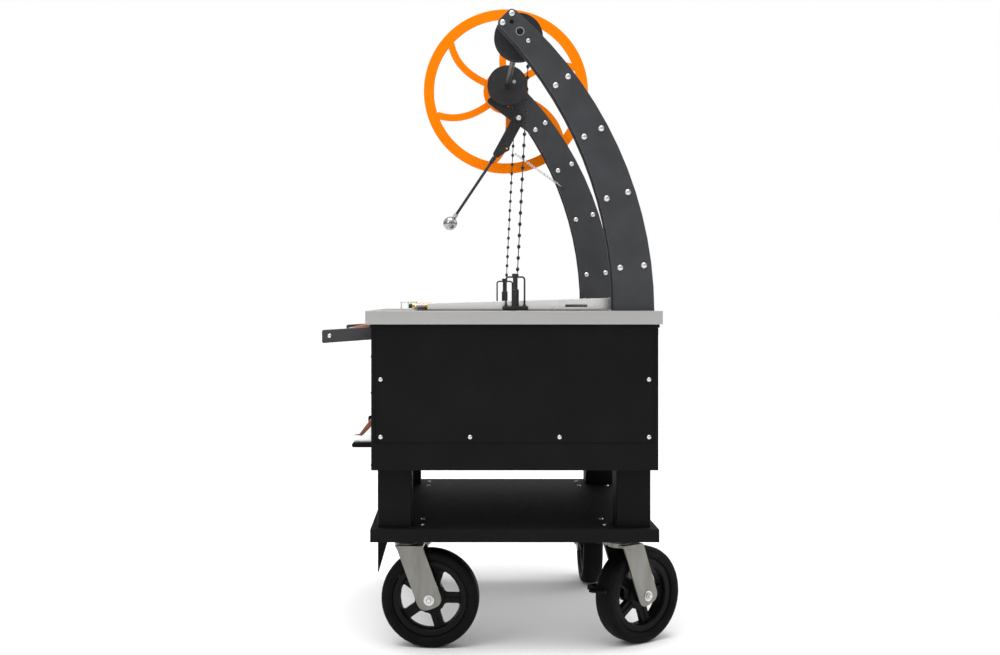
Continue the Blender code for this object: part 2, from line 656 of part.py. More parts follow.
def flywheel(shop, body):
    centre = (SHAFT_Y, SHAFT_Z)
    middle = -(HALF_X + FLYWHEEL_OUTSET)
    inner, outer = FLYWHEEL_HUB, FLYWHEEL_RADIUS - FLYWHEEL_RIM
    radii = [inner + (outer - inner) * i / 6 for i in range(7)]
    loops = [circle(centre, FLYWHEEL_RADIUS, 48)]
    turn = 360.0 / FLYWHEEL_SPOKES
    for k in range(FLYWHEEL_SPOKES):
        base = turn * k
        window = [arc(centre, r, base + spoke_side(r, 1), base + spoke_side(r, 1), 1)[0] for r in radii]
        window += arc(centre, outer, base + spoke_side(outer, 1), base + turn + spoke_side(outer, -1), 7)[1:]
        window += [arc(centre, r, base + turn + spoke_side(r, -1), base + turn + spoke_side(r, -1), 1)[0]
                   for r in radii[::-1][1:]]
        window += arc(centre, inner, base + turn + spoke_side(inner, -1), base + spoke_side(inner, 1), 4)[1:-1]
        loops.append(window)
    loops.append(circle(centre, SHAFT_RADIUS + GAP, 16))
    wheel = sheet("flywheel", loops, "X", middle - FLYWHEEL_METAL / 2, middle + FLYWHEEL_METAL / 2)
    hub = turned("flywheel_hub", [(SHAFT_RADIUS + GAP, -0.014), (0.026, -0.014), (0.026, 0.014),
                                  (SHAFT_RADIUS + GAP, 0.014)], (middle, SHAFT_Y, SHAFT_Z), "X", 16)
    fuse(shop, wheel, hub)
    shop.place(wheel, "orange", body)


def chains(shop, root):
    """The straight run of each lift chain, from its spool to its yoke."""
    top = SHAFT_Z - 0.009
    for word, side in (("right", 1), ("left", -1)):
        x = side * SPOOL_X
        chain = rod("lift_chain_" + word, (x, YOKE_Y + 0.0055, YOKE_TOP + GAP * 2),
                    (x, SHAFT_Y + SPOOL_CORE + CHAIN_RADIUS * 1.3, top), CHAIN_RADIUS, 8)
        shop.place(chain, "black_steel", root)


PIVOT = (0.036, -0.101)          # the brake's points, from the shaft
BAND_PIN = (-0.0517, -0.047)
ROD_SOCKET = (-0.0327, -0.215)
SPRING_EYE = (-0.0017, -0.197)
SPRING_STUD = (0.176, -0.319)
KNOB = (-0.1807, -0.436)
KNOB_RADIUS = 0.022
PIVOT_RADIUS = 0.006
BRAKE_RELEASE = 7.0              # degrees that the lever turns to free the drum
PIN_SLOT = 0.0045                # half the width of the slot that the pin slides in


def brake_studs():
    """The lever's pivot on its lug and the spring's stud, welded to the left arm's inner plate."""
    plate = -(ARM_INNER + ARM_METAL / 2)
    lever = -(LEVER_X - LEVER_METAL / 2)
    y, z = from_shaft(PIVOT)
    pivot = rod("pivot", (plate, y, z), (lever + 0.006, y, z), PIVOT_RADIUS, 14)
    head = rod("pivot_head", (lever + GAP, y, z), (lever + 0.006, y, z), 0.0115, 14)
    y, z = from_shaft(SPRING_STUD)
    stud = rod("spring_stud", (plate, y, z), (lever + 0.003, y, z), 0.004, 10)
    lug_side = 0.017
    centre = from_shaft(PIVOT)
    lug = sheet("pivot_lug", [arc(centre, lug_side, 60, 240, 8)
                              + [(centre[0] + 0.040, centre[1] - 0.050), (centre[0] + 0.055, centre[1] - 0.020)]],
                "X", -ARM_INNER - ARM_METAL, -ARM_INNER)
    return [lug, pivot, head, stud]


def brake_band(shop, root):
    """A steel band round the drum, with a slotted tail that the lever's pin pulls."""
    centre = (SHAFT_Y, SHAFT_Z)
    inner, outer = DRUM_RADIUS + 0.0012, DRUM_RADIUS + 0.0032
    pin = from_shaft(BAND_PIN)
    tail = math.degrees(math.atan2(BAND_PIN[1], BAND_PIN[0])) - math.degrees(
        math.acos(outer / math.hypot(*BAND_PIN)))
    sweep = 250.0
    ring = arc(centre, outer, tail - sweep, tail, 20) + arc(centre, inner, tail, tail - sweep, 20)
    band = sheet("brake_band", [ring], "X", -DRUM_X - DRUM_WIDTH / 2, -DRUM_X + DRUM_WIDTH / 2)
    start = arc(centre, (inner + outer) / 2, tail, tail, 1)[0]
    along = Vector((pin[0] - start[0], pin[1] - start[1])).normalized()
    across = Vector((-along.y, along.x))
    pin = Vector(pin)
    start = Vector(start) - along * 0.001
    outline = [start - across * 0.0016, pin - along * 0.020 - across * 0.0065, pin + along * 0.009 - across * 0.0065,
               pin + along * 0.009 + across * 0.0070, pin - along * 0.006 + across * 0.0145,
               pin - along * 0.019 + across * 0.0145, pin - along * 0.027 + across * 0.0065, start + across * 0.0016]
    low, high = -DRUM_X - DRUM_WIDTH / 2, -DRUM_X + DRUM_WIDTH / 2
    strap = sheet("band_tail", [[tuple(point) for point in outline]], "X", low + GAP, high - GAP)
    released = Vector(PIVOT) + Matrix.Rotation(math.radians(-BRAKE_RELEASE), 2) @ (Vector(BAND_PIN) - Vector(PIVOT))
    travel = released - Vector(BAND_PIN)
    slide = travel.normalized()
    wide = Vector((-slide.y, slide.x)) * PIN_SLOT
    near, far = pin - slide * PIN_SLOT, pin + travel + slide * PIN_SLOT
    loop = [near - wide, far - wide, far + wide, near + wide]
    slot = sheet("tail_slot", [[tuple(point) for point in loop]], "X", low - DRUM_WIDTH, high + DRUM_WIDTH)
    fuse(shop, band, strap)
    cut(shop, band, slot)
    shop.place(band, "black_steel", root)


def brake_lever(shop, root):
    """A bent plate on the arm's pivot, a rod and a ball knob."""
    body = shop.empty("brake_axis", (-LEVER_X, *from_shaft(PIVOT)), root)
    pin, pivot, socket, eye = (from_shaft(p) for p in (BAND_PIN, PIVOT, ROD_SOCKET, SPRING_EYE))
    outline = (arc(pin, 0.011, 50, 245, 7) + [from_shaft((0.0118, -0.109))]
               + arc(socket, 0.012, 165, 300, 5) + arc(eye, 0.010, 270, 380, 4)
               + arc(pivot, 0.019, -20, 75, 4) + [from_shaft((-0.006, -0.061))])
    low, high = -LEVER_X - LEVER_METAL / 2, -LEVER_X + LEVER_METAL / 2
    lever = sheet("brake_lever", [outline, circle(pivot, PIVOT_RADIUS + GAP * 2, 14), circle(eye, 0.0035, 8)],
                  "X", low, high)
    hook = rod("band_pin", (-LEVER_X, *pin), (-DRUM_X - DRUM_WIDTH / 2, *pin), 0.003, 10)
    along = (Vector((-LEVER_X, *from_shaft(KNOB))) - Vector((-LEVER_X, *socket))).normalized()
    start = Vector((-LEVER_X, *socket))
    fuse(shop, lever, hook)
    shop.place(lever, "black_steel", body)
    centre = Vector((-LEVER_X, *from_shaft(KNOB)))
    handle = rod("brake_rod", start + along * 0.020, centre - along * (KNOB_RADIUS + GAP), 0.0048, 12)
    fuse(shop, handle, rod("rod_socket", start + along * 0.0125, start + along * 0.034, 0.0075, 12))
    shop.place(handle, "black_steel", body)
    shop.place(ball("brake_knob", centre, KNOB_RADIUS), "chrome", body)
    stud = Vector((-LEVER_X, *from_shaft(SPRING_STUD)))
    eyelet = Vector((-LEVER_X, *eye))
    pull = (stud - eyelet).normalized()
    spring = rod("brake_spring", eyelet + pull * 0.0145, stud - pull * 0.0055, 0.004, 10)
    shop.place(spring, "zinc", root)


# --------------------------------------------------------------------- the grate
def grate_wall_outline():
    """A side wall that is taller at the rear, so the channels drain to the front."""
    return [(GRATE_FRONT, GRATE_Z), (GRATE_REAR, GRATE_Z), (GRATE_REAR, GRATE_Z + GRATE_REAR_HEIGHT),
            (GRATE_FRONT, GRATE_Z + GRATE_FRONT_HEIGHT)]


def grate(shop, root):
    body = shop.empty("grate_lift", (0, GRATE_Y, GRATE_Z), root)
    half = GRATE_WIDTH / 2
    slot = rectangle((GRATE_REAR - 0.1255, GRATE_Z + 0.006), (GRATE_REAR - 0.0685, GRATE_Z + 0.0135))
    right = sheet("grate_frame", [grate_wall_outline(), slot], "X", half - GRATE_WALL, half)
    left = sheet("grate_wall_left", [grate_wall_outline(), slot], "X", -half, -half + GRATE_WALL)
    front = box("grate_front", (-half + GRATE_WALL / 2, GRATE_FRONT, GRATE_Z),
                (half - GRATE_WALL / 2, GRATE_FRONT + GRATE_WALL, GRATE_Z + 0.008))
    rear = box("grate_rear", (-half + GRATE_WALL / 2, GRATE_REAR - GRATE_WALL, GRATE_Z),
               (half - GRATE_WALL / 2, GRATE_REAR, GRATE_Z + 0.018))
    fuse(shop, right, left, front, rear)
    shop.place(right, "stainless", body)
    channels(shop, body)
    trough(shop, body)
    for word, side in (("right", 1), ("left", -1)):
        yoke(shop, body, word, side)
        coil_grip(shop, body, word, side)


def channels(shop, body):
    """V-section bars that slope to the front, between two end strips."""
    inside = GRATE_WIDTH / 2 - GRATE_WALL - GAP
    pitch = 2 * inside / CHANNELS
    half, wall = CHANNEL_WIDTH / 2, CHANNEL_METAL
    depth = half * 0.62
    loops = []
    for i in range(CHANNELS):
        x = -inside + pitch * (i + 0.5)
        loops.append([(x - half, depth), (x, 0.0), (x + half, depth), (x + half - wall * 1.4, depth),
                      (x, wall * 1.4), (x - half + wall * 1.4, depth)])
    front = GRATE_FRONT + GRATE_WALL + 0.003
    rear = GRATE_REAR - GRATE_WALL - 0.003
    lean = math.atan2(GRATE_REAR_HEIGHT - GRATE_FRONT_HEIGHT, GRATE_DEPTH)
    length = (rear - front) / math.cos(lean)
    vees = sheet("vees", loops, "Y", -length / 2, length / 2)
    base = GRATE_Z + (GRATE_FRONT_HEIGHT + GRATE_REAR_HEIGHT) / 2 - depth - 0.002
    vees.data.transform(Matrix.Translation((0, (front + rear) / 2, base)) @ Matrix.Rotation(lean, 4, "X"))
    ends = []
    for name, y in (("grate_channels", front), ("channel_end", rear)):
        z = base + (y - (front + rear) / 2) * math.tan(lean)
        ends.append(box(name, (-inside, y - 0.0015, z - 0.0015), (inside, y + 0.0015, z + depth + 0.001)))
    fuse(shop, ends[0], vees, ends[1])
    shop.place(ends[0], "stainless", body)


def trough(shop, body):
    """The grease trough across the grate's front."""
    half = GRATE_WIDTH / 2 - 0.030
    rear = GRATE_FRONT - GAP
    front = rear - TROUGH_WIDTH
    top = GRATE_Z + 0.014
    body_box = box("grease_trough", (-half, front, GRATE_Z), (half, rear, top))
    hollow = box("trough_hollow", (-half + 0.002, front + 0.002, GRATE_Z + 0.002),
                 (half - 0.002, rear - 0.002, top + 0.01))
    cut(shop, body_box, hollow)
    shop.place(body_box, "stainless", body)


def coil_grip(shop, body, word, side):
    """A short coil grip with brass ends on an upright bracket, beside the trough."""
    x = side * (GRATE_WIDTH / 2 - 0.0095)
    z = GRATE_Z + 0.0095
    rear = GRATE_FRONT - GAP
    front = rear - 0.055
    profile = [(0.0, 0.0), (0.0088, 0.0), (0.0088, 0.007), (0.0078, 0.008), (0.0078, 0.031), (0.0088, 0.032),
               (0.0088, 0.039), (0.0060, 0.040), (0.0060, 0.050), (0.0, 0.052)]
    grip = turned("coil_grip_" + word, profile, (x, rear, z), "Y", 12)
    grip.data.transform(Matrix.Translation((0, rear, 0)) @ Matrix.Diagonal((1, -1, 1, 1))
                        @ Matrix.Translation((0, -rear, 0)))
    grip.data.flip_normals()
    bracket = sheet("grip_bracket", [[(front - 0.0145, GRATE_Z), (front - 0.0115, GRATE_Z),
                                      (front - 0.0115, GRATE_Z + 0.0175), (front + 0.004, GRATE_Z + 0.0175),
                                      (front + 0.004, GRATE_Z + 0.004), (front + 0.007, GRATE_Z + 0.004),
                                      (front + 0.007, GRATE_Z + 0.0205), (front - 0.0145, GRATE_Z + 0.0205)]],
                    "X", x - 0.007, x + 0.007)
    fuse(shop, grip, bracket)
    shop.place(grip, "stainless", body)


def yoke(shop, body, word, side):
    """A U of wire and a clamp post on a foot bar, where a chain takes hold of the grate."""
    x = side * SPOOL_X
    inner = side * (GRATE_WIDTH / 2 + GAP)
    outer = side * (SPOOL_X + 0.007)
    foot_top = GRATE_Z + 0.0095
    near, far = sorted((inner, outer))
    half = YOKE_SPREAD / 2 + 0.0085
    ends = [arc((YOKE_Y + half - 0.004, GRATE_Z + 0.00475), 0.00475, -90, 90, 4),
            arc((YOKE_Y - half + 0.004, GRATE_Z + 0.00475), 0.00475, 90, 270, 4)]
    foot = sheet("lift_yoke_" + word, [ends[0] + ends[1]], "X", near, far)
    legs_top = YOKE_TOP - 0.0105 - YOKE_WIRE
    corner = 0.006
    wires = []
    for end in (-1, 1):
        y = YOKE_Y + end * YOKE_SPREAD / 2
        wires.append(rod("yoke_leg", (x, y, foot_top - 0.004), (x, y, legs_top - corner), YOKE_WIRE, 6))
        wires.append(rod("yoke_bend", (x, y, legs_top - corner - 0.001),
                         (x, y - end * corner, legs_top), YOKE_WIRE * 1.02, 6))
    wires.append(rod("yoke_top", (x, YOKE_Y - YOKE_SPREAD / 2 + corner - 0.001, legs_top),
                     (x, YOKE_Y + YOKE_SPREAD / 2 - corner + 0.001, legs_top), YOKE_WIRE, 6))
    post = turned("yoke_post", [(0.0, foot_top - 0.003), (0.0095, foot_top - 0.003), (0.0095, foot_top + 0.043),
                                (0.0063, foot_top + 0.045), (0.0063, YOKE_TOP - 0.012),
                                (0.0085, YOKE_TOP - 0.010), (0.0085, YOKE_TOP), (0.0, YOKE_TOP)],
                  (x, YOKE_Y, 0.0), "Z", 12)
    fuse(shop, foot, *wires, post)
    shop.place(foot, "black_steel", body)


# ---------------------------------------------------------------- the ash drawer
def ash_drawer(shop, root):
    body = shop.empty("drawer_slide", (0, -HALF_Y, BODY_BOTTOM + DRAWER_RISE), root)
    half = DRAWER_WIDTH / 2
    bottom = BODY_BOTTOM + DRAWER_RISE
    front = -HALF_Y - GAP - SHEET
    pan = box("ash_drawer", (-half, -HALF_Y - GAP - SHEET / 2, bottom),
              (half, -HALF_Y + DRAWER_LENGTH, bottom + DRAWER_HEIGHT))
    face = box("drawer_face", (-half - 0.012, front, bottom - 0.010), (half + 0.012, front + SHEET, bottom
                                                                       + DRAWER_HEIGHT + 0.010))
    hollow = box("drawer_hollow", (-half + SHEET, -HALF_Y + SHEET, bottom + SHEET),
                 (half - SHEET, -HALF_Y + DRAWER_LENGTH - SHEET, bottom + DRAWER_HEIGHT + 0.01))
    lip_front = front - DRAWER_PULL
    lip = sheet("drawer_lip", [[(front + SHEET / 2, bottom - 0.006), (front + SHEET / 2, bottom + 0.006),
                                (lip_front + 0.006, bottom + 0.006), (lip_front, bottom + 0.003),
                                (lip_front, bottom - 0.003), (lip_front + 0.003, bottom - 0.006)]],
                "X", -half, half)
    foot, heel = (lip_front + 0.024, bottom + 0.024), (front - GAP, bottom + 0.056)
    plate = [(lip_front + 0.003, bottom), (front + SHEET / 2, bottom), (front + SHEET / 2, heel[1] - GAP * 2),
             (heel[0], heel[1] - GAP * 2), (foot[0] + GAP, foot[1] - GAP * 2), (lip_front + 0.017, bottom + 0.0265),
             (lip_front + 0.007, bottom + 0.0265), (lip_front + 0.003, bottom + 0.0225)]
    plates = [sheet("pull_plate", [plate], "X", x - SHEET / 2, x + SHEET / 2) for x in (0.025 - half, half - 0.025)]
    fuse(shop, pan, face, lip, *plates)
    cut(shop, pan, hollow)
    shop.place(pan, "powder_black", body)
    grip = [(lip_front + 0.018, bottom + 0.027), foot, heel, (heel[0], bottom + 0.066),
            (front - 0.006, bottom + 0.070)]
    shop.place(sheet("drawer_pull", [grip], "X", -half + 0.015, half - 0.015), "hardwood", body)


# --------------------------------------------------------------------- the casters
def wheel_core():
    """A five-spoke moulded core: rim, web and hub."""
    rim, window, hub = 0.0968, 0.082, 0.024
    spokes, spoke = 5, 0.026
    loops = [circle((0, 0), rim - 0.006, 24)]
    for k in range(spokes):
        base = 360.0 / spokes * k
        gap = [math.degrees(spoke / 2 / r) for r in (window + 0.002, hub + 0.012)]
        turn = 360.0 / spokes
        loops.append(arc((0, 0), window + 0.002, base + gap[0], base + turn - gap[0], 4)
                     + arc((0, 0), hub + 0.012, base + turn - gap[1], base + gap[1], 2))
    loops.append(circle((0, 0), 0.0085, 8))
    return loops, rim, window, hub


def caster_meshes(shop):
    """The fork, core and tyre, made once with the swivel axis on Z and the axle at +X."""
    axle_z = WHEEL_DIAMETER / 2
    axle = (CASTER_TRAIL, 0.0, axle_z)
    half = WHEEL_WIDTH / 2
    tread = WHEEL_DIAMETER / 2
    shoulder = [(0.0973, half - 0.006), (0.110, half - 0.001), (0.1205, half - 0.0025),
                (tread - 0.0017, half - 0.0085), (tread, half - 0.018)]
    tyre = turned("tyre", [(r, -y) for r, y in shoulder] + shoulder[::-1], axle, "Y", 24)
    loops, rim, window, hub = wheel_core()
    core = sheet("core", [[(u + axle[0], v + axle_z) for u, v in loop] for loop in loops], "Y", -0.010, 0.010)
    ring = turned("core_rim", [(window, -half + 0.010), (rim, -half + 0.010), (rim, half - 0.010),
                               (window, half - 0.010)], axle, "Y", 24)
    boss = turned("core_hub", [(0.0075, -half + 0.001), (hub, -half + 0.001), (hub, half - 0.001),
                               (0.0075, half - 0.001)], axle, "Y", 12)
    core = settle(fuse(shop, core, ring, boss))
    head = turned("fork", [(0.0, CASTER_HEIGHT - 0.031), (RACE_RADIUS, CASTER_HEIGHT - 0.031),
                           (RACE_RADIUS, CASTER_HEIGHT - 0.0196), (0.0, CASTER_HEIGHT - 0.0196)],
                  (0, 0, 0), "Z", 16)
    gap = half + 0.004
    top = CASTER_HEIGHT - 0.0235
    crown = Vector((0.0125, top))
    slope = (Vector((CASTER_TRAIL, axle_z)) - crown).normalized()
    across = Vector((-slope.y, slope.x)) * FORK_LEG / 2
    lean = math.degrees(math.atan2(slope.y, slope.x))
    end = Vector((CASTER_TRAIL, axle_z)) + slope * (FORK_TOE - FORK_CORNER)
    inset = across * (1 - 2 * FORK_CORNER / FORK_LEG)
    level = FORK_LEG / 2 / abs(slope.y)
    bridge = box("fork_bridge", (crown.x - level, -gap - FORK_METAL, top - 0.0065),
                 (crown.x + level, gap + FORK_METAL, top + 0.0005))
    outline = ([(crown.x - level, top)] + arc(end - inset, FORK_CORNER, lean - 90, lean, 3)
               + arc(end + inset, FORK_CORNER, lean, lean + 90, 3) + [(crown.x + level, top)])
    sides = [sheet("fork_side", [outline], "Y", low, low + FORK_METAL) for low in (-gap - FORK_METAL, gap)]
    axle_bar = rod("axle", (CASTER_TRAIL, -gap - FORK_METAL - 0.007, axle_z),
                   (CASTER_TRAIL, gap + FORK_METAL + 0.007, axle_z), 0.007, 8)
    fork = settle(fuse(shop, head, bridge, *sides, axle_bar))
    plate = box("plate", (-CASTER_PLATE / 2, -CASTER_PLATE / 2, CASTER_HEIGHT - 0.006),
                (CASTER_PLATE / 2, CASTER_PLATE / 2, CASTER_HEIGHT - GAP))
    race = turned("race", [(0.0, CASTER_HEIGHT - 0.0193), (RACE_RADIUS, CASTER_HEIGHT - 0.0193),
                           (RACE_RADIUS + 0.004, CASTER_HEIGHT - 0.005), (0.0, CASTER_HEIGHT - 0.005)],
                  (0, 0, 0), "Z", 16)
    plate = settle(fuse(shop, plate, race))
    pedal = pedal_model(shop, gap + FORK_METAL + 0.0008)
    return {"tyre": tyre, "core": core, "fork": fork, "plate": plate, "pedal": pedal}


def pedal_model(shop, side):
    """An arm beside the wheel with a pointed tread ahead of it, its hinge on the Y axis through the origin."""
    bar = 0.004
    half = PEDAL_HEIGHT / 2
    ahead = -(PEDAL_HINGE[0] - CASTER_TRAIL + WHEEL_DIAMETER / 2 + 0.004)
    arm = sheet("pedal", [[(0.008, side), (0.008, side + bar), (ahead - bar, side + bar),
                           (ahead - bar, -0.026), (ahead, -0.026), (ahead, side)]], "Z", -half, half)
    tread = sheet("pedal_tread", [[(ahead - bar / 2, 0.026), (ahead - 0.016, 0.023), (ahead - 0.033, 0.006),
                                   (ahead - 0.033, -0.006), (ahead - 0.016, -0.023), (ahead - bar / 2, -0.026)]],
                  "Z", -bar / 2, bar / 2)
    return settle(fuse(shop, arm, tread))


def casters(shop, root):
    models = caster_meshes(shop)
    copies = (("caster_plate_", "plate", "zinc"), ("caster_fork_", "fork", "zinc"),
              ("wheel_core_", "core", "nylon"), ("wheel_tyre_", "tyre", "rubber"))
    meshes = {name: model.data for name, model in models.items()}
    for model in models.values():
        bpy.data.objects.remove(model, do_unlink=True)
    for spot, (x, y) in caster_spots().items():
        swivel = shop.empty("swivel_" + spot, (x, y, 0.0), root)
        swivel.rotation_euler.z = math.radians(CASTER_YAW[spot])
        axle = shop.empty("axle_" + spot, (CASTER_TRAIL, 0.0, WHEEL_DIAMETER / 2), swivel)
        mount = shop.empty("mount_" + spot, (x, y, 0.0), root)
        for prefix, kind, finish_name in copies:
            parent = {"plate": mount, "fork": swivel}.get(kind, axle)
            piece = bpy.data.objects.new(prefix + spot, meshes[kind])
            shop.parts.objects.link(piece)
            piece.parent = parent
            if parent is axle:
                piece.location = (-CASTER_TRAIL, 0.0, -WHEEL_DIAMETER / 2)
            if not meshes[kind].materials:
                meshes[kind].materials.append(shop.finishes[finish_name])
        if spot.startswith("rear"):
            brake_pedal(shop, swivel, spot, meshes["pedal"])


def brake_pedal(shop, swivel, spot, mesh):
    """A foot pedal hinged on the fork's legs, with its tread on the leading side."""
    hinge = shop.empty("pedal_axis_" + spot, (PEDAL_HINGE[0], 0.0, PEDAL_HINGE[1]), swivel)
    pedal = bpy.data.objects.new("brake_pedal_" + spot, mesh)
    shop.parts.objects.link(pedal)
    pedal.parent = hinge
    if not mesh.materials:
        mesh.materials.append(shop.finishes["powder_black"])


# ------------------------------------------------------------------------ assembly
def stand_on_origin(shop):
    """Move the whole grill so the middle of its outer box stands on the origin."""
    bpy.context.view_layer.update()
    graph = bpy.context.evaluated_depsgraph_get()
    low, high = [1e9] * 3, [-1e9] * 3
    for obj in shop.parts.objects:
        if obj.type != "MESH":
            continue
        solid = obj.evaluated_get(graph)
        for vertex in solid.data.vertices:
            point = solid.matrix_world @ vertex.co
            low = [min(a, b) for a, b in zip(low, point)]
            high = [max(a, b) for a, b in zip(high, point)]
    shop.origin.location = (-(low[0] + high[0]) / 2, -(low[1] + high[1]) / 2, -low[2])
    bpy.context.view_layer.update()


def main():
    shop = Shop()
    root = shop.empty("cart", (0, 0, 0), shop.origin)
    for build in (firebox, top_rim, side_covers, fire_bed, legs, lower_tray, front_rail, arms, winch, chains,
                  brake_band, brake_lever, grate, ash_drawer, casters):
        build(shop, root)
    stand_on_origin(shop)


main()
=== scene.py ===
"""The looks of an open-fire grill on a caster cart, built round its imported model.

Metres, +Z up. The cook stands at -Y and the flywheel is on the -X side.
"""

import json
import math

import bpy
from bpy.props import FloatProperty, FloatVectorProperty, IntProperty, PointerProperty
from bpy.types import Operator, Panel, PropertyGroup
from mathutils import Matrix, Vector

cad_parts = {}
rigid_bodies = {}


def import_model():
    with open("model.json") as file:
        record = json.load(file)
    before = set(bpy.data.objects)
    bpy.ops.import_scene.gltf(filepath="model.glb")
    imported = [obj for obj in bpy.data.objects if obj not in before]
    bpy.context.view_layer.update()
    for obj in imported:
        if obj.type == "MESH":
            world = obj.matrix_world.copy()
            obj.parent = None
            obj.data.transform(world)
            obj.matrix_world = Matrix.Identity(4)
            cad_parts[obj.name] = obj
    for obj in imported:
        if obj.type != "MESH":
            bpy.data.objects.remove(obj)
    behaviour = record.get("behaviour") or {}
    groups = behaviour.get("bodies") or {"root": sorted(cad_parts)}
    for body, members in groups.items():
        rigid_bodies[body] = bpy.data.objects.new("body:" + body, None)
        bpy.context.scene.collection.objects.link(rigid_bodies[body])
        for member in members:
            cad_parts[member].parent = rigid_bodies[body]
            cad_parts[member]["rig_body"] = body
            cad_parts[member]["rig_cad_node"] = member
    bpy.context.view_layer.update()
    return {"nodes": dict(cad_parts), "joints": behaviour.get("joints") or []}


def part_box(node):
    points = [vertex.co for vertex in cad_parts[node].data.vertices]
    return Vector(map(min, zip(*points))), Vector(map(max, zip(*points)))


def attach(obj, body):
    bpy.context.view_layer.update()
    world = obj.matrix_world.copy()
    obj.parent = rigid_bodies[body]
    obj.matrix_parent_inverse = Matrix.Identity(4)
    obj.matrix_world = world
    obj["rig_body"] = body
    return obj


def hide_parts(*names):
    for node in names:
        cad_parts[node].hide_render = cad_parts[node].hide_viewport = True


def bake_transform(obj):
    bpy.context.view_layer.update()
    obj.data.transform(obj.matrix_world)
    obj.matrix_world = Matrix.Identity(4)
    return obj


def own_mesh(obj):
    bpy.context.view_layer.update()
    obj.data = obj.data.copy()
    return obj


bl_info = {
    "name": "Open-fire grill cart",
    "version": (1, 0, 0),
    "blender": (4, 5, 0),
    "location": "3D View > Sidebar > Grill",
    "description": "Detailed pieces and finishes for a grill cart with a flywheel lift",
    "category": "Add Mesh",
}

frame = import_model()

# ------------------------------------------------------- places read from the frame
X, Y, Z = Vector((1, 0, 0)), Vector((0, 1, 0)), Vector((0, 0, 1))
JOINTS = {joint["name"]: joint for joint in frame["joints"]}
SPOTS = ("front_right", "front_left", "rear_right", "rear_left")
SIDES = (("right", 1), ("left", -1))
TRAY_LOW, TRAY_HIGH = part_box("lower_tray")
CART = Vector(((TRAY_LOW.x + TRAY_HIGH.x) / 2, (TRAY_LOW.y + TRAY_HIGH.y) / 2, 0.0))
SHAFT = Vector(JOINTS["winch_turn"]["pos_m"])
PIVOT = Vector(JOINTS["brake_release"]["pos_m"])
GRATE_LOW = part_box("grate_frame")[0]
WHEEL_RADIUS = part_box("wheel_tyre_front_left")[1].z / 2


def mid(node):
    low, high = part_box(node)
    return (low + high) / 2


def outer_face(node, side):
    """How far out a node reaches along X, on the side that it stands on."""
    low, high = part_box(node)
    return high.x if side > 0 else low.x


# ------------------------------------------------------------------ modelling helpers
def deselect():
    if bpy.context.object and bpy.context.object.mode != "OBJECT":
        bpy.ops.object.mode_set(mode="OBJECT")
    bpy.ops.object.select_all(action="DESELECT")


def pick(*pieces):
    deselect()
    for piece in pieces:
        piece.hide_set(False)
        piece.select_set(True)
    bpy.context.view_layer.objects.active = pieces[0]
    return pieces[0]


def edit(piece, action="SELECT"):
    pick(piece)
    bpy.ops.object.mode_set(mode="EDIT")
    bpy.ops.mesh.select_mode(type="VERT")
    bpy.ops.mesh.select_all(action=action)


def leave():
    bpy.ops.object.mode_set(mode="OBJECT")
    return bpy.context.object


def named(name):
    piece = bpy.context.object
    piece.name = name
    piece.data.name = name
    return piece


def settle(piece):
    """Put the piece's place, turn and size into its mesh."""
    pick(piece)
    bpy.ops.object.transform_apply(location=True, rotation=True, scale=True)
    return piece


def modified(piece, kind, **values):
    pick(piece)
    bpy.ops.object.modifier_add(type=kind)
    step = piece.modifiers[-1]
    for key, value in values.items():
        setattr(step, key, value)
    bpy.ops.object.modifier_apply(modifier=step.name)
    return piece


def softened(piece, width, segments=2, angle=30):
    """Round the piece's sharp edges, then shade it smooth."""
    modified(piece, "BEVEL", width=width, segments=segments, limit_method="ANGLE",
             angle_limit=math.radians(angle), use_clamp_overlap=True)
    shaded(piece)
    return modified(piece, "WEIGHTED_NORMAL", keep_sharp=True)


def shaded(piece, angle=32):
    pick(piece)
    bpy.ops.object.shade_smooth_by_angle(angle=math.radians(angle))
    return piece


def cleaned(piece):
    edit(piece)
    bpy.ops.mesh.remove_doubles(threshold=0.00002)
    bpy.ops.mesh.normals_make_consistent(inside=False)
    return leave()


def joined(name, pieces):
    pick(*pieces)
    if len(pieces) > 1:
        bpy.ops.object.join()
    piece = named(name)
    return settle(piece)


def traced(name, points):
    """A line of edges through points, left in edit mode."""
    deselect()
    bpy.ops.mesh.primitive_plane_add(size=0.001, location=points[0])
    piece = settle(named(name))
    edit(piece)
    bpy.ops.mesh.merge(type="CENTER")
    for last, point in zip(points, points[1:]):
        bpy.ops.mesh.extrude_vertices_move(TRANSFORM_OT_translate={"value": point - last})
    return piece


def plate(name, corners, thickness):
    """A flat shape with the given corners, extruded along a vector."""
    piece = traced(name, corners)
    bpy.ops.mesh.select_all(action="SELECT")
    bpy.ops.mesh.edge_face_add()
    bpy.ops.mesh.extrude_region_move(TRANSFORM_OT_translate={"value": thickness})
    leave()
    return cleaned(piece)


def block(name, low, high, edge=0.0):
    """A box between two corners with rounded edges."""
    low, high = Vector(low), Vector(high)
    deselect()
    bpy.ops.mesh.primitive_cube_add(size=1.0, location=(low + high) / 2, scale=high - low)
    piece = settle(named(name))
    return softened(piece, edge) if edge else piece


